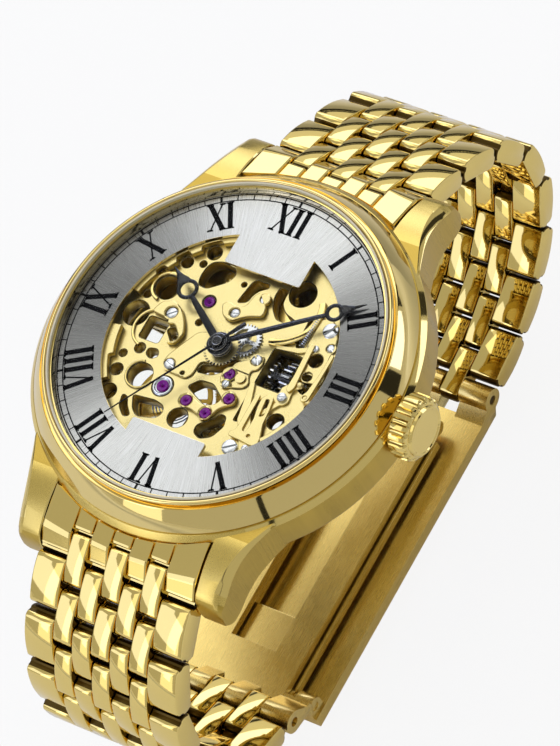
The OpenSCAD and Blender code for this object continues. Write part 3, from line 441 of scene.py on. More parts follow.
# ---- Crystal
# Thin mineral glass, slightly domed and anti-reflection coated on its outer face. It is
# pressed into the bezel, where a pale nylon gasket holds it.
clear_glass = bpy.data.materials.new("coated_glass")
clear_glass.use_nodes = True
tree = clear_glass.node_tree
tree.nodes.clear()
sight = node(tree, "ShaderNodeBsdfTransparent", {"Color": (0.985, 0.99, 0.985, 1)})
smear = node(tree, "ShaderNodeTexNoise", {"Vector": spot_of(tree), "Scale": 180.0,
                                          "Detail": 3.0})
sheen = node(tree, "ShaderNodeMapRange", {"Value": smear.outputs[0], "To Min": 0.02,
                                         "To Max": 0.06})
gloss = node(tree, "ShaderNodeBsdfGlossy", {"Color": (0.92, 0.95, 1, 1),
                                            "Roughness": sheen.outputs[0]})
coated_ior = 1.09
edge = node(tree, "ShaderNodeFresnel", {"IOR": coated_ior})
leaving = node(tree, "ShaderNodeNewGeometry").outputs["Backfacing"]
edge = node(tree, "ShaderNodeMath", {0: edge.outputs[0], 1: leaving}, operation="SUBTRACT",
            use_clamp=True)
glazed = node(tree, "ShaderNodeMixShader", {0: edge.outputs[0], 1: sight.outputs[0],
                                            2: gloss.outputs[0]})
node(tree, "ShaderNodeOutputMaterial", {"Surface": glazed.outputs[0]})
glass_r, dome_low, dome_rise = 17.36, 1.5, 0.28
dome = [(r, dome_low + dome_rise * (1 - (r / glass_r) ** 2))
        for r in [17.3 * (1 - i / 16) for i in range(17)]]
solid("front_crystal", *turned([(0, 0.91), (17.34, 0.91), (glass_r, 0.93), (glass_r, 1.4)]
                               + dome, 192), clear_glass, "watch_head", ["crystal"], 30,
      slot="crystal")

pale_nylon = metal("pale_nylon", (0.80, 0.72, 0.50), 0.45, "blast", 12000, 2e-6, 0.1,
                   metallic=0.0)
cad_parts["seals"].data.materials[0] = pale_nylon

# ---- Rehaut and dial
# The dial is a silvered brass ring with two tabs, brushed outwards from the centre, its
# open edge diamond-cut. A turned gold rehaut stands on its rim, under the crystal.


def shaded(finish, shade_in):
    """Multiplies a worked metal's colour by a shade that shade_in makes in its tree."""
    tree = finish.node_tree
    shader = tree.nodes["Principled BSDF"]
    plain = shader.inputs["Base Color"].links[0].from_socket
    tree.links.new(mixed(tree, 1.0, plain, shade_in(tree), "MULTIPLY"),
                   shader.inputs["Base Color"])
    return finish


def painted_sunray_sheen(tree):
    """Painted sheen: bright towards 12 and 6, dark towards 3 and 9, as radial brushing looks
    under the lamps.
    """
    ray = vectors(tree, "NORMALIZE", vectors(tree, "MULTIPLY", spot_of(tree), (1, 1, 0)))
    across = maths(tree, "POWER", split(tree, ray)["X"], 2.0)
    return ramp(tree, across, [(0.0, 0.86), (0.15, 0.84), (0.55, 0.42), (1.0, 0.22)])


# The dial's colour carries a painted sheen over its real radial grain.
rayed_silver = shaded(metal("rayed_silver", (0.68, 0.675, 0.665), 0.30, "rayed", 15000, 3.5e-6,
                            0.04, streak=0.26, anisotropic=0.6, cloudy=0.08), painted_sunray_sheen)
cut_gold = metal("cut_gold", (0.93, 0.80, 0.50), 0.14, "round", 20000, 6e-7)
solid("rehaut", *turned([(17.0, 0.02), (17.34, 0.02), (17.34, 0.62), (17.26, 0.64),
                         (17.2, 0.6)], 192), cut_gold, "watch_head", ["dial_flange"], 30,
      slot="dial")


def crisp(piece):
    """Keeps flat faces flat: every edge round one is sharp, whatever the bevel's angle."""
    shape = bmesh.new()
    shape.from_mesh(piece.data)
    for edge in shape.edges:
        level = [abs(side.normal.z) > 0.985 for side in edge.link_faces]
        if len(level) == 2 and level[0] != level[1]:
            edge.smooth = False
    shape.to_mesh(piece.data)
    shape.free()
    return piece


def plate(name, outlines, low, high, finish, bevel=0.05, stands_for=(), slot=None):
    """A flat plate cut from closed outlines, holes among them, with bevelled edges."""
    curve = bpy.data.curves.new(name, "CURVE")
    curve.dimensions, curve.fill_mode = "2D", "BOTH"
    curve.extrude = (high - low) / 2 - bevel
    curve.bevel_depth, curve.bevel_resolution = bevel, 1
    curve.offset = -bevel
    for outline in outlines:
        line = curve.splines.new("POLY")
        line.points.add(len(outline) - 1)
        for point, (x, y) in zip(line.points, outline):
            point.co = (x, y, 0, 1)
        line.use_cyclic_u = True
    flat = plain_mesh(linked(name + "_outline", curve))
    flat.transform(Matrix.Translation((0, 0, (low + high) / 2)))
    return crisp(solid(name, flat, None, finish, "watch_head", stands_for, 30, slot=slot))


def circle(x, y, r, steps=0, start=0.0, sweep=2 * pi):
    """A circle's points, or an arc's with both of its ends."""
    steps = steps or max(16, min(160, int(20 + r * 9)))
    full = abs(sweep - 2 * pi) < 1e-6
    turns = [start + sweep * i / (steps if full else steps - 1) for i in range(steps)]
    return [(x + r * cos(a), y + r * sin(a)) for a in turns]


window_r, dial_r = 12.3, 17.34
tab_top, tab_low = 8.3, -10.0


def window_edge(x_left, x_right, y_tab, sign):
    """Where the open middle's circle meets one tab, as corner angles and the tab's edge."""
    left = math.atan2(sign * math.sqrt(window_r ** 2 - x_left ** 2), x_left)
    right = math.atan2(sign * math.sqrt(window_r ** 2 - x_right ** 2), x_right)
    return left, right, soften([(x_left, sign * 13), (x_left, y_tab), (x_right, y_tab),
                                (x_right, sign * 13)], [0, 0.3, 0.3, 0])[1:-1]


top_left, top_right, top_tab = window_edge(-4.4, 4.6, tab_top, 1)
low_left, low_right, low_tab = window_edge(-4.35, 4.35, tab_low, -1)
opening = circle(0, 0, window_r, 61, top_right, low_right - top_right) + low_tab[::-1]
opening += circle(0, 0, window_r, 61, low_left, top_left - 2 * pi - low_left) + top_tab
dial = plate("dial_plate", [circle(0, 0, dial_r, 192), opening], -0.4, 0.0, rayed_silver,
             0.04, ["dial"], "dial")
dial.data.materials.append(cut_gold)
for side in dial.data.polygons:
    x, y, z = side.center * 1000
    if abs(side.normal.z) < 0.95 and hypot(x, y) < 17:
        side.material_index = 1
dial.data.set_sharp_from_angle(angle=radians(20))

# ---- Printing on the dial
# Matt black ink, pad-printed in a film a few microns thick: twelve Roman numerals whose
# feet point to the centre, and two thin rings joined by a tick at each minute.
black_ink = metal("black_ink", (0.008, 0.008, 0.009), 0.70, "blast", 9000, 1e-7, 0.25,
                  metallic=0.0)
black_ink.node_tree.nodes["Principled BSDF"].inputs["Specular IOR Level"].default_value = 0.05
ink_z = 0.006


def bar(x0, y0, x1, y1, w0, w1=None):
    """One printed stroke from a point to a point, as a four-cornered outline."""
    run = Vector((x1 - x0, y1 - y0))
    side = Vector((-run.y, run.x)).normalized() / 2
    a, b = side * w0, side * (w0 if w1 is None else w1)
    return [(x0 + a.x, y0 + a.y), (x1 + b.x, y1 + b.y), (x1 - b.x, y1 - b.y),
            (x0 - a.x, y0 - a.y)]


numeral_h, stem_w, hair_w, serif_h = 3.1, 0.54, 0.17, 0.12
top_y, foot_y = numeral_h / 2, -numeral_h / 2
v_half, x_half = 0.62, 0.66


def serif(x, y, sign, half=0.42):
    """A flat serif with bracketed corners at a stroke's end."""
    flat, neck = y - sign * serif_h, y - sign * serif_h * 1.9
    return [(x - half, y), (x + half, y), (x + half, flat), (x + half * 0.55, neck),
            (x - half * 0.55, neck), (x - half, flat)]


def letter_i(x):
    return [bar(x, foot_y, x, top_y, stem_w), serif(x, top_y, 1), serif(x, foot_y, -1)]


def letter_v(x):
    left, right = x - v_half, x + v_half
    return [bar(left, top_y, x + 0.02, foot_y, stem_w, stem_w * 0.9),
            bar(right, top_y, x + 0.04, foot_y, hair_w), serif(left, top_y, 1, 0.4),
            serif(right, top_y, 1, 0.34)]


def letter_x(x):
    left, right = x - x_half, x + x_half
    return [bar(left, top_y, right, foot_y, stem_w), bar(right, top_y, left, foot_y, hair_w),
            serif(left, top_y, 1, 0.4), serif(right, top_y, 1, 0.34),
            serif(left, foot_y, -1, 0.34), serif(right, foot_y, -1, 0.4)]


print_points, print_faces = [], []


def print_at(angle, strokes, out=0.0):
    """Prints outlines drawn at 12, moved outwards and then turned clockwise."""
    swing = Matrix.Rotation(-radians(angle), 4, "Z")
    for stroke in strokes:
        start = len(print_points)
        print_points.extend(swing @ Vector((x, y + out, ink_z)) for x, y in stroke)
        print_faces.append(tuple(range(start, len(print_points))))


numerals = ["I", "II", "III", "IIII", "V", "VI", "VII", "VIII", "IX", "X", "XI", "XII"]
numeral_r = 14.6
advance = {"I": 0.98, "V": 1.8, "X": 1.9}
drawn = {"I": letter_i, "V": letter_v, "X": letter_x}
for i, numeral in enumerate(numerals):
    place = -sum(advance[c] for c in numeral) / 2
    for c in numeral:
        print_at(30 * (i + 1), drawn[c](place + advance[c] / 2), numeral_r)
        place += advance[c]

for r_in, r_out in ((16.2, 16.33), (16.8, 16.93)):
    start, count = len(print_points), 240
    print_points += [(r * cos(2 * pi * i / count), r * sin(2 * pi * i / count), ink_z)
                     for i in range(count) for r in (r_in, r_out)]
    print_faces += [(start + 2 * i, start + 2 * i + 1, start + (2 * i + 3) % (2 * count),
                     start + (2 * i + 2) % (2 * count)) for i in range(count)]
for minute in range(60):
    tick_w = 0.12 if minute % 5 else 0.26
    print_at(-6 * minute, [bar(0, 16.3, 0, 16.84, tick_w)])
printing = solid("dial_printing", print_points, print_faces, black_ink, "watch_head",
                 turn=False, slot="hands")
for side in printing.data.polygons:
    if side.normal.z < 0:
        side.flip()

# ---- Hands
# Pear-shaped hands stamped from steel, lacquered black: each flank slopes away from a
# ridge down the middle, and the eye is a round eyelet. They stack on one black hub.
black_lacquer = metal("black_lacquer", (0.008, 0.008, 0.010), 0.14, "blast", 7000, 4e-8, 0.25,
                      metallic=0.0)
lacquer = black_lacquer.node_tree.nodes["Principled BSDF"].inputs
lacquer["Specular IOR Level"].default_value = 0.3
lacquer["Coat Weight"].default_value = 0.2


def shifted(shape, x, y, z=0.0):
    points, faces = shape
    return [(a + x, b + y, c + z) for a, b, c in points], faces


def blade(stations, base, rise, shoulder=0.35, side=1.0):
    """A ridged blade from (place along it, half width, ridge's share of the rise)."""
    return loft([[(-half, y, base), (half, y, base), (half * side, y, base + rise * shoulder),
                  (0, y, base + rise * ridge), (-half * side, y, base + rise * shoulder)]
                 for y, half, ridge in stations])


def pear_hand(name, node_name, body, angle, base, rise, length, eye_y, eye_r, hub_r, neck,
              belly, collar):
    """One hand, drawn towards 12 and then turned to its time."""
    shoulder = eye_y + eye_r
    shapes = [
        blade([(0, 0.3, 0.9), (hub_r, neck * 1.35, 1), (eye_y * 0.62, neck * 1.15, 1),
               (eye_y - eye_r - 0.6, neck, 1), (eye_y - eye_r + 0.12, neck * 0.8, 1)],
              base, rise),
        blade([(shoulder - 0.2, belly, 0.9), (shoulder + 0.15, belly * 0.86, 1),
               (shoulder + 0.6, belly * 0.52, 1), (shoulder + 1.1, belly * 0.3, 1),
               (length - 0.6, 0.12, 0.9), (length - 0.02, 0.03, 0.5)], base, rise)]
    for r_in, r_out, y in ((eye_r - 0.42, eye_r, eye_y), (0.66, hub_r, 0)):
        ring = soften([(r_in, base), (r_out, base), (r_out, base + rise * 0.6),
                       ((r_in + r_out) / 2, base + rise), (r_in, base + rise * 0.6)], 0.03, 2)
        shapes.append(shifted(turned(ring, 56), 0, y))
    points, faces = together(*shapes, turned(soften(collar, 0.04, 2), 56))
    turn = Matrix.Rotation(-radians(angle), 4, "Z")
    solid(name, [turn @ Vector(p) for p in points], faces, black_lacquer, body, [node_name],
          25, slot="hands")


pear_hand("hour_hand_black", "hour_hand", "hour", angle=304, base=0.18, rise=0.16, length=10.8,
          eye_y=7.5, eye_r=1.15, hub_r=1.25, neck=0.30, belly=0.75,
          collar=[(0.92, -0.62), (1.14, -0.62), (1.14, -0.3), (1.06, -0.22), (1.06, 0.0),
                  (1.22, 0.06), (1.22, 0.18), (0.92, 0.18)])
pear_hand("minute_hand_black", "minute_hand", "minute", angle=54.5, base=0.40, rise=0.14,
          length=15.3, eye_y=12.0, eye_r=1.0, hub_r=0.92, neck=0.25, belly=0.62,
          collar=[(0.66, 0.46), (0.9, 0.46), (0.9, 0.56), (0.74, 0.58), (0.66, 0.58)])

# Each hub has a thin grey steel rim, a painted highlight where the lacquer's edge would catch
# the lamps.
painted_highlight_steel = metal("painted_highlight_steel", (0.45, 0.45, 0.47), 0.15, "blast", 9000, 4e-7, 0.1)
for name, body, r, z in (("hour_hub_rim", "hour", 1.25, 0.16),
                         ("hour_pipe_rim", "hour", 1.16, -0.3),
                         ("minute_hub_rim", "minute", 0.94, 0.55),
                         ("seconds_cap_rim", "seconds", 0.47, 0.79)):
    solid(name, *turned(circle(r, z, 0.04, 8), 64), painted_highlight_steel, body, slot="hands")

# The seconds hand: a needle with a flared tail, on a domed black cap over the stack.
swing = Matrix.Rotation(-radians(213), 4, "Z")
needle, needle_faces = blade([(-3.3, 0.1, 1), (-3.2, 0.24, 1), (-2.5, 0.26, 1), (-0.9, 0.15, 1),
                              (0, 0.15, 1), (5, 0.115, 1), (12.6, 0.065, 1), (13, 0.03, 1)],
                             0.60, 0.11, 0.5, 0.9)
cap = soften([(0, 0.6), (0.56, 0.6), (0.56, 0.72), (0.44, 0.80), (0.26, 0.82), (0.24, 0.78),
              (0, 0.78)], [0, 0.02, 0.05, 0.05, 0.02, 0.02, 0], 3)
pipe = [(0, -0.2), (0.12, -0.2), (0.12, 0.6), (0, 0.6)]
solid("seconds_hand_black", *together(([swing @ Vector(q) for q in needle], needle_faces),
                                      turned(cap, 48), turned(pipe, 20)), black_lacquer,
      "seconds", ["seconds_hand"], 25, slot="hands")

# ---- Crown
# A turned gold knob with eighteen broad flutes whose ends are chamfered into scallops, a
# raised rim and a plain disc on its end. It slides out 0.8 mm and turns on the stem.
crown_z, crown_x, flutes, crown_steps = -3.06, 20.6, 18, 16
flute_deep, flute_half = 0.34, 0.28
# Each ring: how far out it is, its radius, and its share of the flutes' depth.
crown_rings = [(0.0, 2.3, 0.0), (0.0, 2.95, 0.25), (0.08, 3.12, 0.6), (0.3, 3.28, 1.0),
               (1.62, 3.28, 1.0), (1.84, 3.2, 0.9), (2.02, 3.02, 0.55), (2.14, 2.78, 0.15),
               (2.17, 2.62, 0.0), (2.40, 2.58, 0.0), (2.50, 2.48, 0.0), (2.50, 2.3, 0.0),
               (2.42, 2.2, 0.0), (2.42, 0.0, 0.0)]
ribs = []
for out, r, deep in crown_rings:
    rib = []
    for i in range(flutes * crown_steps):
        t = (i % crown_steps) / crown_steps
        dip = flute_deep * math.sqrt(max(1 - ((t - 0.5) / flute_half) ** 2, 0))
        a = 2 * pi * i / (flutes * crown_steps)
        rib.append((crown_x + out, (r - dip * deep) * cos(a),
                    crown_z + (r - dip * deep) * sin(a)))
    ribs.append(rib)
knob = solid("crown_knob", *loft(ribs), bright_gold, "crown", ["crown"], 32, slot="gold_case")
# Painted shade: the flutes' walls take a dark gold that stands in for the shade in the grooves.
knob.data.materials.append(metal("painted_flute_shade", (0.36, 0.24, 0.05), 0.16, "blast", 9000, 2e-7,
                                 0.1))
flutes_from, flutes_to = 20.7, 22.5
painted_flute_walls = ((0.22, 0.36), (0.64, 0.78))    # as shares of one flute's turn
for side in knob.data.polygons:
    x, y, z = side.center * 1000
    turn = math.atan2(z - dial_top - crown_z, y) / (2 * pi) * flutes % 1
    if flutes_from < x < flutes_to and any(a < turn < b for a, b in painted_flute_walls):
        side.material_index = 1

# ---- Bracelet
# Seven columns of solid gold-plated bricks. The outer rows and the rows between them are
# strung half a pitch apart on cross pins; every brick is arched and polished, with its
# side edges rounded over. One tree of Geometry Nodes strings the bricks of a link.
pitch, half_pitch, brick_gap, pin_r = 6.0, 3.0, 0.12, 0.5
slim_space, wide_at = 4.6, 7.475
upper_slopes = [30, 40, 64, 92, 120, 140, 158, 172]
lower_slopes = [38, 58, 80, 104, 130, 158]
first_pin_y, first_pin_z = 24.8, -6.7


def brick_outline(inset):
    """Side view of a brick: a low arched top, upright ends and a flat underside."""
    end_r, low, arch, crown = 1.44 - inset, -1.1 + inset, 9.5, 1.45
    left = [(end_r * cos(radians(a)), max(end_r * sin(radians(a)), low))
            for a in range(236, 164, -12)]
    left += [(-1.26 + inset, 0.24), (-1.21 + inset, 0.45), (-1.20 + inset, 0.72 - inset * 0.3),
             (-1.08 + inset, 0.98 - inset * 0.6), (-0.86 + inset * 0.8, 1.17 - inset * 0.9)]
    top = [(y, crown - arch + math.sqrt((arch - inset) ** 2 - (y - half_pitch / 2) ** 2))
           for y in [-0.60 + 4.2 * i / 14 for i in range(15)]]
    return left + top + [(half_pitch - y, z) for y, z in left[::-1]]


def brick_block(low, high, back=0.0):
    """One brick across the given width, its side edges rounded over."""
    soft = 0.17
    cuts = [(low, soft), (low + soft * 0.3, soft * 0.3), (low + soft, 0),
            (high - soft, 0), (high - soft * 0.3, soft * 0.3), (high, soft)]
    return loft([[(x, y - back, z) for y, z in brick_outline(inset)] for x, inset in cuts])


def brick(width, name):
    """A loose brick for the tree, its first pin on the X axis."""
    points, faces = brick_block(-width / 2, width / 2)
    mesh = bpy.data.meshes.new(name)
    mesh.from_pydata(points, [], faces)
    return bpy.data.objects.new(name, mesh)


wide_brick = brick(3.55 - brick_gap, "wide_brick")
slim_brick = brick(2.28 - brick_gap, "slim_brick")


def tree_with(name, sockets):
    """A new Geometry Nodes tree with named inputs, and the outputs that carry them."""
    tree = bpy.data.node_groups.new(name, "GeometryNodeTree")
    tree.interface.new_socket("Geometry", in_out="OUTPUT", socket_type="NodeSocketGeometry")
    for label, kind, start in sockets:
        socket = tree.interface.new_socket(label, in_out="INPUT",
                                           socket_type="NodeSocket" + kind)
        if start is not None:
            socket.default_value = start
    return tree, tree.nodes.new("NodeGroupInput").outputs


def finish_tree(tree, strung, finish):
    """Ends a tree with real geometry in its finish."""
    real = node(tree, "GeometryNodeRealizeInstances", {"Geometry": strung})
    dressed = node(tree, "GeometryNodeSetMaterial", {"Geometry": real.outputs[0],
                                                     "Material": finish})
    tree.links.new(dressed.outputs[0], tree.nodes.new("NodeGroupOutput").inputs[0])


def grown(tree, values, places=None):
    """The plain mesh that a tree makes from its named inputs, on a mesh of places."""
    holder = linked("holder", places or bpy.data.meshes.new("holder"))
    worker = holder.modifiers.new("tree", "NODES")
    worker.node_group = tree
    for item in tree.interface.items_tree:
        if item.name in values:
            worker[item.identifier] = values[item.name]
    return plain_mesh(holder)


link_tree, given = tree_with("string_of_bricks", [
    ("Wide brick", "Object", None), ("Slim brick", "Object", None),
    ("Outer columns at", "Float", wide_at), ("Column spacing", "Float", slim_space),
    ("Half pitch", "Float", half_pitch), ("Finish", "Material", None)])


def row_of(brick_name, count, first, gap, along_y=0.0):
    """Bricks of one kind set side by side: a line of points with a brick on each."""
    start = node(link_tree, "ShaderNodeCombineXYZ", {"X": first, "Y": along_y})
    step = node(link_tree, "ShaderNodeCombineXYZ", {"X": gap})
    line = node(link_tree, "GeometryNodeMeshLine", {
        "Count": count, "Start Location": start.outputs[0], "Offset": step.outputs[0]})
    shape = node(link_tree, "GeometryNodeObjectInfo", {"Object": given[brick_name]})
    return node(link_tree, "GeometryNodeInstanceOnPoints", {
        "Points": line.outputs[0], "Instance": shape.outputs["Geometry"]}).outputs[0]


def times(a, b):
    return maths(link_tree, "MULTIPLY", a, b)


outer = given["Outer columns at"]
space = given["Column spacing"]
strung = node(link_tree, "GeometryNodeJoinGeometry")
for row in (row_of("Wide brick", 2, times(outer, -1.0), times(outer, 2.0)),
            row_of("Slim brick", 2, times(space, -0.5), space),
            row_of("Slim brick", 3, times(space, -1.0), space, given["Half pitch"])):
    link_tree.links.new(row, strung.inputs[0])
finish_tree(link_tree, strung.outputs[0], given["Finish"])


def pins(stations):
    """Cross pins in a link's own frame, as points and faces."""
    rod = [(0, -9.1), (pin_r - 0.08, -9.1), (pin_r, -9.02), (pin_r, 9.02),
           (pin_r - 0.08, 9.1), (0, 9.1)]
    p, f = turned(rod, 24)
    return together(*[([(z, b + y, a) for a, b, z in p], f) for y in stations])


# Painted shade: a dark gold that stands in for the shade deep in the gaps between bricks.
painted_shade_gold = metal("painted_gap_shade", (0.09, 0.055, 0.012), 0.35, "blast", 9000, 4e-7, 0.2)


def paint_gap_shade(piece, place):
    """Paints shade on the ends of the bricks, deep in the gaps, in a dark gold."""
    inner_half, end_reach, shade_top = 1.15, 1.02, 0.70
    piece.data.materials.append(painted_shade_gold)
    back = place.inverted()
    for side in piece.data.polygons:
        x, y, z = back @ side.center
        if min(abs(x - c) for c in (-slim_space, 0.0, slim_space)) < inner_half:
            y -= half_pitch
        if (y < -end_reach or y > half_pitch + end_reach) and z < shade_top:
            side.material_index = 1


def string_link(name, body, slope, hinge, sign, far_pin):
    """One link: its bricks from the tree and its pins, tilted at its hinge."""
    bricks = grown(link_tree, {"Wide brick": wide_brick, "Slim brick": slim_brick,
                               "Finish": bright_gold})
    points = [corner.co for corner in bricks.vertices]
    faces = [tuple(side.vertices) for side in bricks.polygons]
    rods = pins([half_pitch, pitch] if far_pin else [half_pitch])
    move = Matrix.Translation((0, sign * hinge[0], dial_top + hinge[1])) @ Matrix.Scale(
        sign, 4, (0, 1, 0)) @ Matrix.Rotation(-radians(slope), 4, "X")
    piece = solid(name, *together((points, faces), rods), bright_gold, body, [body], 30,
                  move=move, slot="gold_bracelet")
    paint_gap_shade(piece, Matrix.Scale(0.001, 4) @ move)


for side, sign, slopes in (("upper", 1, upper_slopes), ("lower", -1, lower_slopes)):
    at_y, at_z = first_pin_y, first_pin_z
    for i, slope in enumerate(slopes):
        last = side == "lower" and i == len(slopes) - 1
        string_link(f"{side}_bricks_{i + 1}", f"{side}_link_{i + 1}", slope, (at_y, at_z),
                    sign, not last)
        at_y += pitch * cos(radians(slope))
        at_z -= pitch * sin(radians(slope))

# ---- End links
# Solid gold-plated blocks that fill the gaps between the lugs, held by the spring bars.
# Each is milled as the same seven columns: long ones that run out to the first pin and
# short ones that stop half a pitch before it, with a brick let in after each.
bar_y, bar_z = 22.2, -6.3
column_edges = [-9.25, -5.7, -3.45, -1.15, 1.15, 3.45, 5.7, 9.25]
long_end, short_end, column_gap = -1.8, -4.45, 0.06
lean = radians(36)
seat_r, core_half, tube_r = 20.68, 9.18, 0.8


def at_case(x, z):
    """Where a height in the end link's tilted frame meets the case's flank."""
    return (math.sqrt(seat_r ** 2 - x * x) - first_pin_y - z * sin(lean)) / cos(lean)


def column_top(y):
    """Side view of a column's top: a facet that leaves the case, a bend, a steeper facet."""
    near = 0.90 + (y + 5.7) * math.tan(radians(16))
    far = 1.42 - (y + 3.9) * math.tan(radians(15))
    bend = 0.06
    return -bend * math.log(math.exp(-near / bend) + math.exp(-far / bend))


def end_column(x_low, x_high, y_end):
    """One column as a loft across its width, its long edges rounded over."""
    soft, nose = 0.2, 0.4
    cuts = [(x_low, soft), (x_low + 0.05, 0.08), (x_low + soft, 0.0),
            (x_high - soft, 0.0), (x_high - 0.05, 0.08), (x_high, soft)]
    ribs = []
    for x, inset in cuts:
        end_z = column_top(y_end - nose) - inset
        line = [(y_end, -0.9), (y_end, end_z - 0.32), (y_end - 0.06, end_z - 0.14),
                (y_end - 0.18, end_z - 0.03)]
        inner = at_case(x, 0.8)
        for _ in range(4):
            inner = at_case(x, column_top(inner) - inset)
        run = y_end - nose - inner
        line += [(y, column_top(y) - inset)
                 for y in [y_end - nose - k / 21 * run for k in range(22)]]
        line += [(at_case(x, -0.3), -0.3), (at_case(x, -0.6), -0.6)]
        ribs.append([(x, y, z) for y, z in line])
    return loft(ribs)


def base_block():
    """The core under the columns and the spring bar's tube through it, open at the lugs."""
    out, up = bar_y - first_pin_y, bar_z - first_pin_z
    tube_y, tube_z = out * cos(lean) - up * sin(lean), out * sin(lean) + up * cos(lean)
    outline = [(at_case(9.1, 0.0), 0.0), (-6.2, 0.5), (-1.55, 0.6), (-1.55, -1.7), (-2.0, -2.1),
               (-5.2, -2.1)]
    return [loft([[(x, y, z) for y, z in line] for x in (-core_half, core_half)], False)
            for line in (outline, circle(tube_y, tube_z, tube_r, 24))]


def end_link():
    """One end link in its own frame: columns, let-in bricks, core and first pin."""
    shapes = []
    for i, (low, high) in enumerate(zip(column_edges, column_edges[1:])):
        low, high = low + column_gap, high - column_gap
        shapes.append(end_column(low, high, short_end if i % 2 else long_end))
        if i % 2:
            shapes.append(brick_block(low, high, half_pitch))
    return together(*shapes, *base_block(), pins([0.0]))


tilt = Matrix.Translation((0, first_pin_y, first_pin_z)) @ Matrix.Rotation(-lean, 4, "X")
points, faces = end_link()
placed = [tilt @ Vector(q) for q in points]
end_piece = solid("end_link_blocks", *together(*[
    ([(q.x, sign * q.y, q.z) for q in placed], faces) for sign in (1, -1)]), bright_gold,
    "watch_head", ["end_links"], 26, slot="gold_bracelet")
# Painted shade: faces that look along the link, into the gaps between its columns and bricks,
# take the dark gold.
end_piece.data.materials.append(painted_shade_gold)
for side in end_piece.data.polygons:
    outward = math.copysign(side.normal.y, side.center.y * side.normal.y)
    if abs(outward * cos(lean) - side.normal.z * sin(lean)) > 0.88:
        side.material_index = 1

# ---- Main plate
# The movement is built on one pierced brass plate, fine-blasted and gilt; the edges of its
# windows are polished. Raised covers on its front hold the motion work and the keyless work.
gilt = metal("blasted_gilt", (0.80, 0.66, 0.30), 0.30, "blast", 13000, 4.5e-6, 0.20,
             cloudy=0.6)
gilt_edge = metal("polished_gilt", (0.84, 0.66, 0.26), 0.16, "blast", 9000, 6e-7, 0.05)
gilt_wall = metal("milled_gilt", (0.86, 0.64, 0.17), 0.38, "along_z", 20000, 2e-6, 0.10,
                  streak=0.08)


def painted_depth_shade(shades):
    """Painted shade that follows the height, from 3 mm to 0.7 mm under the dial's top face:
    deeper in the windows and dark at the plate's top face.
    """
    def shade_in(tree):
        level = node(tree, "ShaderNodeMapRange", {
            "Value": split(tree, spot_of(tree))["Z"], "From Min": (dial_top - 3.0) / 1000,
            "From Max": (dial_top - 0.7) / 1000})
        return ramp(tree, level.outputs[0], shades)
    return shade_in


# Painted shade on the polished edges and milled walls: dark deep in the windows, and dark lines
# where the covers and window rims meet the plate's top face.
shaded(gilt_edge, painted_depth_shade([(0.0, 0.25), (0.60, 0.8), (0.70, 1.0), (0.735, 0.08),
                               (0.775, 0.2), (0.84, 1.0)]))
shaded(gilt_wall, painted_depth_shade([(0.0, 0.14), (0.22, 0.25), (0.50, 0.80), (0.68, 1.0),
                               (0.735, 0.03), (0.80, 0.25), (0.9, 0.9)]))

plate_top, plate_low = -1.3, -2.9
round_windows = [(-6.6, 9.3, 0.75), (-8.8, 7.4, 0.6), (-7.1, 7.8, 0.35), (-9.3, 4.2, 1.3),
                 (-10.95, 2.9, 0.42), (-11, 0.6, 1.4), (-9.9, -3.8, 0.4), (-9.6, -5.6, 0.65),
                 (-6.9, -5.3, 1.3), (-9.1, -8.0, 0.8), (4.6, 8.3, 1.4), (9.7, 2.2, 0.75),
                 (-1.8, 7.2, 0.25), (9.1, -5, 0.85), (-10.7, 5.5, 0.25), (-8.5, -2.7, 0.55),
                 (8.9, 3.3, 0.28), (-2.7, -3.7, 0.2), (0.5, -10.4, 0.35),
                 (7.2, -9.9, 0.3), (10.2, -7.0, 0.4), (2.6, 10.4, 0.6), (-0.7, -8.1, 1.05),
                 (-2.9, 10.6, 0.7), (11.5, -2.6, 0.35), (-4.1, 1.9, 0.35)]
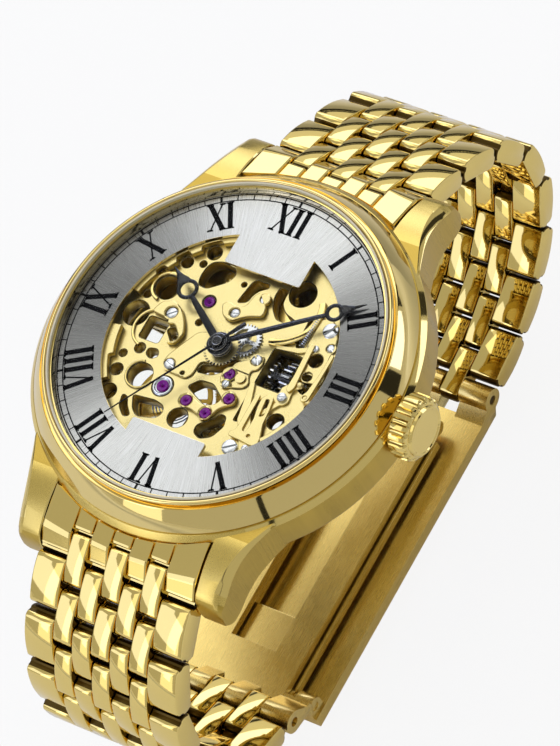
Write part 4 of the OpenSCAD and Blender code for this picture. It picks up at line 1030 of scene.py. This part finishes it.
cut_windows = [
    [(-6.2, 8.3), (-5.2, 8.7), (-3.5, 8.4), (-3.2, 7.75), (-3.6, 6.9), (-4.6, 6.1),
     (-5.4, 5.5), (-6.4, 5.6), (-6.65, 6.6), (-6.55, 7.6)],
    [(-1.5, 5.2), (-1.1, 7.6), (-0.75, 8.1), (0.7, 8.1), (0.85, 7.7), (0.1, 7.2),
     (-0.35, 6.5), (-0.5, 5.6)],
    [(2.0, 8.2), (3.0, 8.2), (3.0, 7.4), (3.1, 6.6), (3.9, 5.8), (5.3, 5.4), (5.2, 4.9),
     (3.4, 4.9), (2.4, 5.9), (1.95, 7.1)],
    [(6.7, 6.5), (7.6, 6.2), (7.8, 3.0), (6.9, 2.8)],
    [(-9.35, 0.85), (-7.0, 0.85), (-7.0, -1.65), (-9.35, -1.65)],
    [(-6.6, 0.35), (-6.1, 0.5), (-4.9, -0.6), (-5.2, -1.1), (-5.8, -1.0), (-6.8, 0.0)],
    [(-7.6, -2.4), (-6.6, -2.2), (-6.2, -2.9), (-6.9, -3.4), (-7.6, -3.0)],
    [(-6.4, -7.5), (-3.9, -7.25), (-2.8, -7.5), (-2.5, -8.2), (-2.9, -8.9), (-4.9, -9.4),
     (-5.7, -8.8)],
    [(-7.5, -7.8), (-6.9, -7.9), (-6.4, -8.8), (-5.6, -9.6), (-6.2, -9.9), (-7.2, -9.0)],
    [(1.7, -8.9), (1.6, -8.1), (2.9, -7.0), (3.4, -6.2), (4.0, -6.3), (4.3, -7.3),
     (3.7, -8.7), (2.6, -9.3)],
    [(-1.5, -4.7), (-0.6, -3.7), (0.9, -3.6), (2.5, -4.7), (2.5, -5.5), (1.2, -5.9),
     (-0.2, -5.3)],
    [(-1.45, -3.0), (0.2, -2.75), (1.15, -2.0), (1.5, -1.45), (2.5, -0.9), (2.6, -0.5),
     (1.9, -0.35), (1.1, -1.1), (-0.1, -1.8), (-1.3, -2.1)],
    [(4.9, 2.1), (8.3, 2.1), (8.3, -2.1), (4.9, -2.1)],
    [(4.9, -3.2), (5.5, -3.3), (5.5, -6.2), (4.9, -6.4)],
    [(9.1, 0.55), (9.05, -0.85), (9.9, -1.38), (10.65, -1.4), (10.75, -0.85), (10.7, 0.1),
     (10.1, 0.65)],
    [(6.4, -3.4), (7.3, -3.2), (7.5, -4.6), (7.0, -6.1), (6.4, -5.6)]]
jewels = [(-4.3, 4.3), (2.0, -2.1), (3.51, -4.58), (1.99, -6.81), (-0.61, -6.26)]
balance_at = (-4.0, -5.6)
outlines = [circle(0, 0, 13, 160)] + [circle(*w) for w in round_windows]
outlines += [soften(w, 0.35, 4) for w in cut_windows]
outlines += [circle(x, y, 0.56) for x, y in jewels]
outlines += [circle(*balance_at, 1.11), circle(0, 0, 0.9), circle(1.6, 1.65, 0.25)]


def gilt_plate(name, outlines, low, high, bevel, stands_for=(), slot="plates"):
    """A blasted plate whose bevels are polished and whose walls are left milled."""
    piece = plate(name, outlines, low, high, gilt, bevel, stands_for, slot)
    piece.data.materials.append(gilt_edge)
    piece.data.materials.append(gilt_wall)
    for side in piece.data.polygons:
        if abs(side.normal.z) < 0.97:
            side.material_index = 1 if abs(side.normal.z) > 0.3 else 2


gilt_plate("main_plate_gilt", outlines, plate_low, plate_top, 0.10, ["main_plate"])

# Raised covers on its front: each has an outline and the holes that go through it.
covers = {
    "train_cover": ([(1.9, -0.75), (3.3, 0.15), (3.95, 0.85), (4.55, 0.8), (4.8, 0.0),
                     (4.6, -0.75), (4.02, -1.05), (4.1, -1.73), (4.53, -2.33), (4.27, -2.95),
                     (3.59, -3.26), (2.15, -3.62), (1.56, -3.34), (1.15, -2.5),
                     (1.75, -1.6)], [(2.0, -2.1, 0.6), (3.9, 0.2, 0.58), (3.3, -2.1, 0.42),
                                     (2.2, -3.2, 0.42)]),
    "balance_cover": ([(-3.5, 0.9), (-4.3, -0.6), (-5.2, -2.4), (-5.35, -3.5), (-4.5, -4.05),
                       (-2.2, -4.2), (-1.62, -3.6), (-1.5, -2.0), (-0.2, -1.65), (1.0, -0.95),
                       (0.9, -0.5), (-0.5, 1.0), (-1.9, 1.5)],
                      [(0, 0, 0.85), (-2.7, -3.7, 0.2), (-4.5, -3.3, 0.6)]),
    "left_cover": ([(-9.2, 1.15), (-8.7, 2.5), (-7.4, 3.0), (-6.2, 2.4), (-5.2, 1.2),
                    (-4.6, 0.0), (-5.0, -1.3), (-6.0, -1.5), (-5.1, -0.9), (-5.0, -0.4),
                    (-6.1, 0.7), (-6.9, 0.4), (-7.0, 0.95)], [(-7.1, 1.7, 0.68)]),
    "right_cover": ([(7.95, 6.5), (9.1, 6.9), (10.6, 5.3), (11.0, 3.9), (10.9, 2.9),
                     (11.6, 0.6), (11.4, -0.25), (10.5, -0.2), (9.75, -0.35), (8.6, -0.1),
                     (8.45, 2.9), (7.95, 3.4)],
                    [(9.5, 5.6, 0.9), (9.7, 2.2, 0.75), (9.75, 0.35, 0.5), (8.95, 3.3, 0.28),
                     (10.5, 3.9, 0.44)]),
    "barrel_cover": ([(-2.6, 4.4), (-1.9, 3.2), (-0.8, 2.9), (0.5, 3.9), (2.2, 4.5),
                      (2.1, 5.5), (0.7, 6.9), (0.2, 6.4), (-0.1, 4.9), (-1.0, 4.6),
                      (-1.9, 4.9)], [(1.4, 6.3, 0.66), (-0.8, 3.9, 0.54)]),
    "corner_cover": ([(-1.5, -5.7), (-0.5, -5.45), (0.5, -5.9), (1.2, -6.1), (1.9, -5.95),
                      (2.6, -5.5), (2.8, -4.7), (3.0, -3.9), (3.7, -3.7), (4.3, -4.2),
                      (4.4, -5.0), (3.7, -5.4), (3.0, -6.1), (2.8, -6.9), (2.5, -7.5),
                      (1.8, -7.65), (1.2, -7.2), (0.2, -6.95), (-0.8, -7.05),
                      (-1.5, -6.7)], [(3.51, -4.58, 0.6), (1.99, -6.81, 0.6),
                                      (-0.61, -6.26, 0.6)])}
cover_tops = {"left_cover": -0.70, "barrel_cover": -0.72, "corner_cover": -0.80}
for name, (outline, holes) in covers.items():
    flat = [soften(outline, 0.4, 4)] + [circle(*h) for h in holes]
    gilt_plate(name, flat, plate_top, cover_tops.get(name, -1.1), 0.12)

# The plate's rim stands higher between the outer windows, close under the dial.
rims = []
for stops in ([(187, 11.3), (203, 11.3), (203.5, 11.8), (216, 11.8)],
              [(106, 11.75), (120, 11.75), (120.5, 12.2), (130, 12.2), (130.5, 11.6),
               (136, 11.6), (136.5, 12.2), (143.5, 12.2), (144, 11.6), (150, 11.6),
               (150.5, 12.25), (155, 12.25), (155.5, 11.8), (168, 11.8)],
              [(-40, 11.6), (-24, 11.6)]):
    start, end = stops[0][0], stops[-1][0]
    turns = [start + (end - start) * i / 60 for i in range(60, -1, -1)]
    rims.append(circle(0, 0, 12.95, 48, radians(start), radians(end - start))
                + [(along(stops, a) * cos(radians(a)), along(stops, a) * sin(radians(a)))
                   for a in turns])
gilt_plate("plate_rim", rims, plate_top - 0.02, -0.5, 0.07)

# A turned ring stands over the barrel's edge, and two guard rings round the lower windows.
rings = []
for x, y, r_in, r_out, start, sweep, top in ((4.0, 6.2, 3.35, 4.05, -88, 116, -0.85),
                                             (-6.9, -5.3, 1.36, 1.62, 100, 250, -1.1),
                                             (-9.3, 4.2, 1.4, 1.75, 60, 200, -1.0),
                                             (-8.2, -0.4, 2.0, 2.3, 95, 160, -1.0)):
    edge = soften([(r_in, plate_top - 0.1), (r_in, top), (r_out, top),
                   (r_out, plate_top - 0.1)], [0, 0.12, 0.12, 0], 3)
    rings.append(shifted(turned(edge, 64, radians(start), radians(sweep)), x, y))
solid("guard_rings", *together(*rings), gilt_edge, "watch_head", slot="plates")

# ---- Jewels
# Synthetic ruby bearings pressed flush into the plate, each with an oil cup and a pivot
# showing; the balance has a larger one in a polished steel setting.
ruby = metal("ruby", (0.22, 0.004, 0.27), 0.12, "blast", 5000, 1e-7, 0.25, metallic=0.0)
ruby.node_tree.nodes["Principled BSDF"].inputs["Specular IOR Level"].default_value = 0.3
bright_steel = metal("bright_steel", (0.66, 0.67, 0.69), 0.13, "blast", 9000, 5e-7, 0.04)


def jewel(x, y, r, low, top):
    cup = [(0.1, low), (r, low), (r, top - 0.04), (r - 0.05, top), (r * 0.55, top),
           (r * 0.4, top - 0.05), (r * 0.2, top - 0.16), (0.1, top - 0.2)]
    return shifted(turned(cup, 40), x, y)


def countersink(x, y, top):
    return shifted(turned([(0.57, top - 0.3), (0.74, top - 0.3), (0.78, top + 0.03),
                           (0.74, top + 0.06), (0.62, top - 0.02), (0.57, top - 0.1)], 40),
                   x, y)


jewel_tops = [-1.3, -1.12, -0.82, -0.82, -0.82]
solid("jewel_bearings", *together(*[jewel(x, y, 0.55, -1.85, top)
                                    for (x, y), top in zip(jewels, jewel_tops)],
                                  jewel(*balance_at, 0.62, -2.1, -1.16)),
      ruby, "watch_head", ["plate_jewels"], 30, slot="jewels")
solid("jewel_sinks", *together(*[countersink(x, y, top)
                                 for (x, y), top in zip(jewels, jewel_tops)]),
      gilt_edge, "watch_head", slot="plates")
setting = soften([(0.64, -2.1), (1.08, -2.1), (1.08, -1.24), (0.98, -1.17), (0.86, -1.17),
                  (0.74, -1.3), (0.64, -1.3)], 0.03, 2)
solid("balance_setting", *shifted(turned(setting, 64), *balance_at), bright_steel,
      "watch_head", slot="steel")

# ---- Screws
# Polished steel screws with domed, slotted heads. One tree of Geometry Nodes sets a head
# on each point, scaled to its radius and turned to its slot's angle.
screw_heads = [(-7.1, 1.7, 0.62, 40, -1.15), (1.4, 6.3, 0.62, 100, -1.15),
               (-0.8, 3.9, 0.5, 15, -1.15), (9.5, 5.6, 0.85, 60, -1.3),
               (3.9, 0.2, 0.55, 130, -1.3), (2.2, -3.2, 0.4, 80, -1.3),
               (8.6, -2.6, 0.5, 20, -1.02), (6.15, -9.1, 0.8, 35, -1.3),
               (10.5, 3.9, 0.4, 150, -1.3), (7.9, -8.8, 0.4, 70, -1.02),
               (9.1, 3.3, 0.36, 110, -1.1), (-4.5, -3.3, 0.56, 165, -1.3)]


def milled_screw_head(name):
    """A unit screw head: radius 1, 0.5 high, domed, with a milled slot across it."""
    rings = ((0, 1), (0.36, 1), (0.46, 0.93), (0.5, 0.8))
    points, faces = loft([[(x, y, z) for x, y in circle(0, 0, r, 32)] for z, r in rings])
    mesh = bpy.data.meshes.new(name)
    mesh.from_pydata(points, [], faces[:-2] + [faces[-2][::-1], faces[-1]])
    slot = bpy.data.meshes.new("slot_cutter")
    slot.from_pydata([(x, y, z) for x in (-2, 2) for y in (-0.15, 0.15) for z in (0.2, 1)],
                     [], [(0, 1, 3, 2), (4, 6, 7, 5), (0, 4, 5, 1), (2, 3, 7, 6),
                          (0, 2, 6, 4), (1, 5, 7, 3)])
    head, blade_cut = linked(name, mesh), linked("slot_cutter", slot)
    cut = head.modifiers.new("slot", "BOOLEAN")
    cut.operation, cut.object, cut.solver = "DIFFERENCE", blade_cut, "EXACT"
    milled = plain_mesh(head)
    bpy.data.objects.remove(blade_cut)
    return bpy.data.objects.new(name, milled)


screw_tree, given = tree_with("set_screws", [
    ("Places", "Geometry", None), ("Head", "Object", None), ("Finish", "Material", None)])
radius = node(screw_tree, "GeometryNodeInputNamedAttribute", {"Name": "head_radius"})
angle = node(screw_tree, "GeometryNodeInputNamedAttribute", {"Name": "slot_angle"})
head = node(screw_tree, "GeometryNodeObjectInfo", {"Object": given["Head"]})
spun = node(screw_tree, "ShaderNodeCombineXYZ", {"Z": angle.outputs[0]})
set_on = node(screw_tree, "GeometryNodeInstanceOnPoints", {
    "Points": given["Places"], "Instance": head.outputs["Geometry"],
    "Rotation": spun.outputs[0], "Scale": radius.outputs[0]})
finish_tree(screw_tree, set_on.outputs[0], given["Finish"])


def set_screws(name, heads, stands_for):
    """Screw heads at x, y, radius, slot angle and seat height."""
    places = bpy.data.meshes.new(name)
    places.from_pydata([(x, y, 0) for x, y, *_ in heads], [], [])
    for label, column in (("head_radius", [h[2] for h in heads]),
                          ("slot_angle", [radians(h[3]) for h in heads])):
        places.attributes.new(label, "FLOAT", "POINT").data.foreach_set("value", column)
    mesh = grown(screw_tree, {"Head": screw_head, "Finish": bright_steel}, places)
    each = len(mesh.vertices) // len(heads)
    for i, corner in enumerate(mesh.vertices):
        x, y, radius, turn, seat = heads[i // each]
        corner.co.z = seat + min(corner.co.z * 0.6 / max(radius, 0.5), 0.3)
    solid(name, mesh, None, bright_steel, "watch_head", stands_for, 30, slot="steel")


screw_head = milled_screw_head("screw_head")
set_screws("movement_screw_heads", screw_heads, ["movement_screws"])

# ---- Keyless work
# The setting lever, its spring and the yoke: thin polished-edge steel and gilt blades on
# the plate's front, which move the sliding pinion when the crown is pulled.


def eased(node_name, finish, body, width=0.04, slot=None, edges=None):
    """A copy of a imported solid, its sharp edges eased to a bevel with a finish of its own."""
    shape = bmesh.new()
    shape.from_mesh(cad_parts[node_name].data)
    bmesh.ops.remove_doubles(shape, verts=shape.verts, dist=2e-6)
    bmesh.ops.dissolve_limit(shape, angle_limit=radians(1.5), verts=shape.verts,
                             edges=shape.edges, delimit={"NORMAL"})
    mesh = bpy.data.meshes.new("eased")
    shape.to_mesh(mesh)
    shape.free()
    mesh.materials.clear()
    for one in (finish, edges or finish):
        mesh.materials.append(one)
    mesh.polygons.foreach_set("material_index", [0] * len(mesh.polygons))
    holder = linked("eased", mesh)
    bevel = holder.modifiers.new("bevel", "BEVEL")
    bevel.width, bevel.segments = width * 0.001, 2
    bevel.limit_method, bevel.angle_limit = "ANGLE", radians(35)
    bevel.use_clamp_overlap = True
    bevel.material = 1
    made = plain_mesh(holder)
    tones = [side.material_index for side in made.polygons]
    made.transform(Matrix.Scale(1000, 4))
    piece = solid(node_name + "_eased", made, None, finish, body, [node_name], 30, turn=False,
                  move=Matrix.Identity(4), slot=slot)
    if edges:
        piece.data.materials.append(edges)
        if len(tones) == len(piece.data.polygons):
            piece.data.polygons.foreach_set("material_index", tones)
    return crisp(piece)


eased("setting_lever", gilt, "setting_lever", 0.05, slot="steel", edges=gilt_edge)
eased("keyless_springs", gilt, "watch_head", 0.05, slot="steel", edges=gilt_edge)
# Painted shade: the pinions' steel is darkened to near black, as they sit in a dark window;
# their tips and ends stay bright steel.
painted_shade_pinion_steel = metal("painted_shade_pinion_steel", (0.07, 0.07, 0.075), 0.28, "blast", 8000, 5e-8, 0.03)
stem_z = dial_top + crown_z
for one in ("sliding_pinion", "winding_pinion"):
    piece = eased(one, painted_shade_pinion_steel, one, 0.02, slot="steel", edges=bright_steel)
    reach = [hypot(side.center.y, side.center.z - stem_z / 1000)
             for side in piece.data.polygons]
    for side, r in zip(piece.data.polygons, reach):
        tip = r > 0.9 * max(reach) and abs(side.normal.x) < 0.6
        side.material_index = 1 if tip or abs(side.normal.x) > 0.9 else 0

# Over them lie the yoke, its return spring and the two-fingered jumper, each a stamped
# gilt blade, and the setting lever's domed stud.
blades = {
    "yoke_blade": [[(8.35, 3.6), (9.0, 3.6), (9.05, 2.6), (9.2, 0.4), (9.35, -1.3), (9.0, -1.95),
                    (8.55, -1.7), (8.6, 0.0)]],
    "yoke_return": [[(11.05, 3.3), (11.45, 3.2), (11.4, 0.6), (11.35, -1.2), (11.3, -2.1),
                     (10.7, -2.4), (10.35, -1.9), (10.75, -1.2), (11.0, 0.8)],
                    circle(10.85, -1.85, 0.22)],
    "jumper": [[(5.95, -3.1), (6.5, -3.1), (6.55, -7.0), (6.85, -7.3), (7.1, -6.9),
                (7.1, -5.6), (6.8, -4.4), (6.75, -3.3), (7.2, -2.75), (7.95, -2.95),
                (8.2, -4.4), (8.3, -5.8), (8.85, -7.4), (8.9, -8.1), (8.2, -8.35),
                (7.1, -8.2), (5.5, -8.1), (5.45, -7.7), (5.95, -7.2)],
               soften([(7.25, -3.3), (7.65, -3.3), (7.9, -5.0), (7.5, -5.3)], 0.16, 3),
               circle(7.55, -7.5, 0.2)]}
for name, (outline, *holes) in blades.items():
    gilt_plate(name, [soften(outline, 0.25, 4)] + holes, -1.0, -0.78, 0.05, slot="steel")
stud = [(0.0, -1.02), (0.3, -1.02), (0.3, -0.92), (0.22, -0.82), (0.0, -0.78)]
solid("setting_lever_stud", *shifted(turned(stud, 32), 9.6, -0.75), gilt, "setting_lever",
      slot="steel")


def coil(start, end, radius, wire, turns):
    """A coil spring between two points, as a five-sided tube with its ends closed."""
    around, steps = 5, 12
    axis = Vector(end) - Vector(start)
    side = axis.cross(Vector((0, 0, 1))).normalized()
    up = side.cross(axis).normalized()
    rings = []
    for i in range(turns * steps + 1):
        a = 2 * pi * i / steps
        out = side * cos(a) + up * sin(a)
        centre = Vector(start) + axis * (i / (turns * steps)) + out * radius
        rings.append([centre + (out * x + axis.normalized() * y) * wire
                      for x, y in circle(0, 0, 1, around)])
    return loft(rings)


solid("lever_coil_spring", *coil((7.72, 6.2, -1.0), (7.6, 3.1, -1.0), 0.25, 0.055, 13),
      bright_steel, "watch_head", slot="steel")

# ---- Wheels and train
# Crown and ratchet wheels are polished steel; the barrel, the train wheels and the motion
# work are cut from gilt brass and run on steel arbors.


def striped(finish, period, angle):
    """Adds broad engine-turned stripes, period metres apart, to a worked metal."""
    darkest = 0.84

    def stripes(tree):
        run = node(tree, "ShaderNodeVectorRotate", {
            "Vector": spot_of(tree), "Angle": radians(angle)}, rotation_type="Z_AXIS")
        step = maths(tree, "DIVIDE", split(tree, run.outputs[0])["X"], period)
        return ramp(tree, maths(tree, "FRACT", step),
                    [(0.0, darkest), (0.85, 1.0), (1.0, darkest)])
    return shaded(finish, stripes)


wheel_gilt = metal("wheel_gilt", (0.84, 0.65, 0.24), 0.18, "blast", 12000, 8e-7, 0.06)
for one, body in (("center_wheel", "minute"), ("third_wheel", "third_wheel"),
                  ("fourth_wheel", "fourth_wheel"), ("barrel", "barrel")):
    eased(one, wheel_gilt, body, 0.02, slot="wheels")
for one, body in (("cannon_pinion", "minute"), ("ratchet_wheel", "ratchet_wheel"),
                  ("crown_wheel", "crown_wheel"), ("escape_wheel", "escape_wheel"),
                  ("pallet_fork", "pallet_fork")):
    eased(one, bright_steel, body, 0.02, slot="steel")
eased("balance_wheel", wheel_gilt, "balance_wheel", 0.03, slot="wheels")
tooth_steel = metal("tooth_steel", (0.30, 0.30, 0.31), 0.22, "blast", 9000, 5e-7, 0.1)
wheel_steel = metal("wheel_steel", (0.62, 0.63, 0.65), 0.24, "round", 14000, 1e-6, 0.05)
for one, body, root, finish in (("hour_wheel", "hour", 1.68, gilt),
                                ("minute_wheel", "minute_wheel", 1.56, wheel_steel)):
    wheel = eased(one, finish, body, 0.02, slot="wheels", edges=tooth_steel)
    spots = [v.co for v in wheel.data.vertices]
    mid_x = (min(c.x for c in spots) + max(c.x for c in spots)) / 2
    mid_y = (min(c.y for c in spots) + max(c.y for c in spots)) / 2
    for side in wheel.data.polygons:
        reach = hypot(side.center.x - mid_x, side.center.y - mid_y) * 1000
        side.material_index = int(reach > root)
blued_steel = metal("blued_steel", (0.10, 0.16, 0.34), 0.16, "blast", 9000, 4e-7, 0.12)
spring_steel = metal("spring_steel", (0.42, 0.43, 0.46), 0.22, "along_z", 9000, 8e-7, 0.10)
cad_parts["hairspring"].data.materials[0] = blued_steel
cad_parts["mainspring"].data.materials[0] = spring_steel

# ---- Bridges and rotor
# Three gilt bridges, striped on the side that shows through the case back, carry the train,
# the barrel and the balance. The winding rotor hangs on a post in front of them.
bridge_gilt = striped(metal("striped_gilt", (0.82, 0.63, 0.22), 0.24, "blast", 13000, 2e-6,
                            0.05), 0.0016, 35)
for one in ("barrel_bridge", "train_bridge", "balance_cock"):
    eased(one, bridge_gilt, "watch_head", 0.08, slot="plates", edges=gilt_edge)
rotor_gilt = striped(metal("rotor_gilt", (0.88, 0.70, 0.30), 0.22, "round", 20000, 1.5e-6,
                           0.05), 0.0022, 80)
eased("rotor", rotor_gilt, "rotor", 0.10, slot="wheels", edges=gilt_edge)
ring_steel = metal("ring_steel", (0.55, 0.56, 0.57), 0.30, "round", 15000, 2e-6, 0.08)
eased("movement_ring", ring_steel, "watch_head", 0.06, slot="steel")

# ---- Case back
# A screwed steel ring, plated gold, with six key slots in its rim and a flat mineral glass
# sprung into it. Its face is brushed in circles and its rim is polished.
eased("case_back", flank_gold_painted_shade, "watch_head", 0.10, slot="gold_case", edges=bright_gold)
back_glass = soften([(0, -8.08), (14.96, -8.08), (14.96, -7.37), (0, -7.37)],
                    [0, 0.12, 0.12, 0], 3)
solid("back_crystal", *turned(back_glass, 160), clear_glass, "watch_head",
      ["case_back_crystal"], 30, slot="crystal")

# ---- Crown tube, gasket, stem and spring bars
# Turned steel parts: the tube pressed into the case, the stem with its setting-lever
# groove, and shouldered bars that spring between the lugs.
turned_steel = metal("turned_steel", (0.60, 0.61, 0.63), 0.20, "blast", 14000, 9e-7, 0.06)
eased("crown_tube", turned_steel, "watch_head", 0.05, slot="steel")
eased("winding_stem", turned_steel, "crown", 0.04, slot="steel")
black_rubber = metal("black_rubber", (0.02, 0.02, 0.022), 0.55, "blast", 12000, 3e-6, 0.3,
                     metallic=0.0)
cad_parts["crown_gasket"].data.materials[0] = black_rubber
bar_line = soften([(0, -9.25), (0.4, -9.25), (0.45, -9.2), (0.45, -9.0), (0.72, -9.0),
                   (0.72, 9.0), (0.45, 9.0), (0.45, 9.2), (0.4, 9.25), (0, 9.25)],
                  [0] + [0.04] * 8 + [0], 2)
points, faces = turned(bar_line, 32)
solid("spring_bars", *together(*[
    ([(c, a + sign * bar_y, b + bar_z) for a, b, c in points], faces) for sign in (1, -1)]),
    turned_steel, "watch_head", ["lug_spring_bars"], 30, slot="steel")

# ---- Folding clasp
# A long gold-plated cover, brushed along the bracelet, and two pressed blades that fold
# under it on riveted pins; the edges of all three are polished.
clasp_gold = metal("clasp_gold", (0.80, 0.61, 0.21), 0.26, "along_y", 20000, 2.5e-6, 0.07)
eased("clasp_cover", clasp_gold, "clasp_cover", 0.22, slot="gold_bracelet",
      edges=bright_gold)
for one in ("clasp_blade_outer", "clasp_blade_inner"):
    eased(one, clasp_gold, one, 0.12, slot="gold_bracelet", edges=bright_gold)
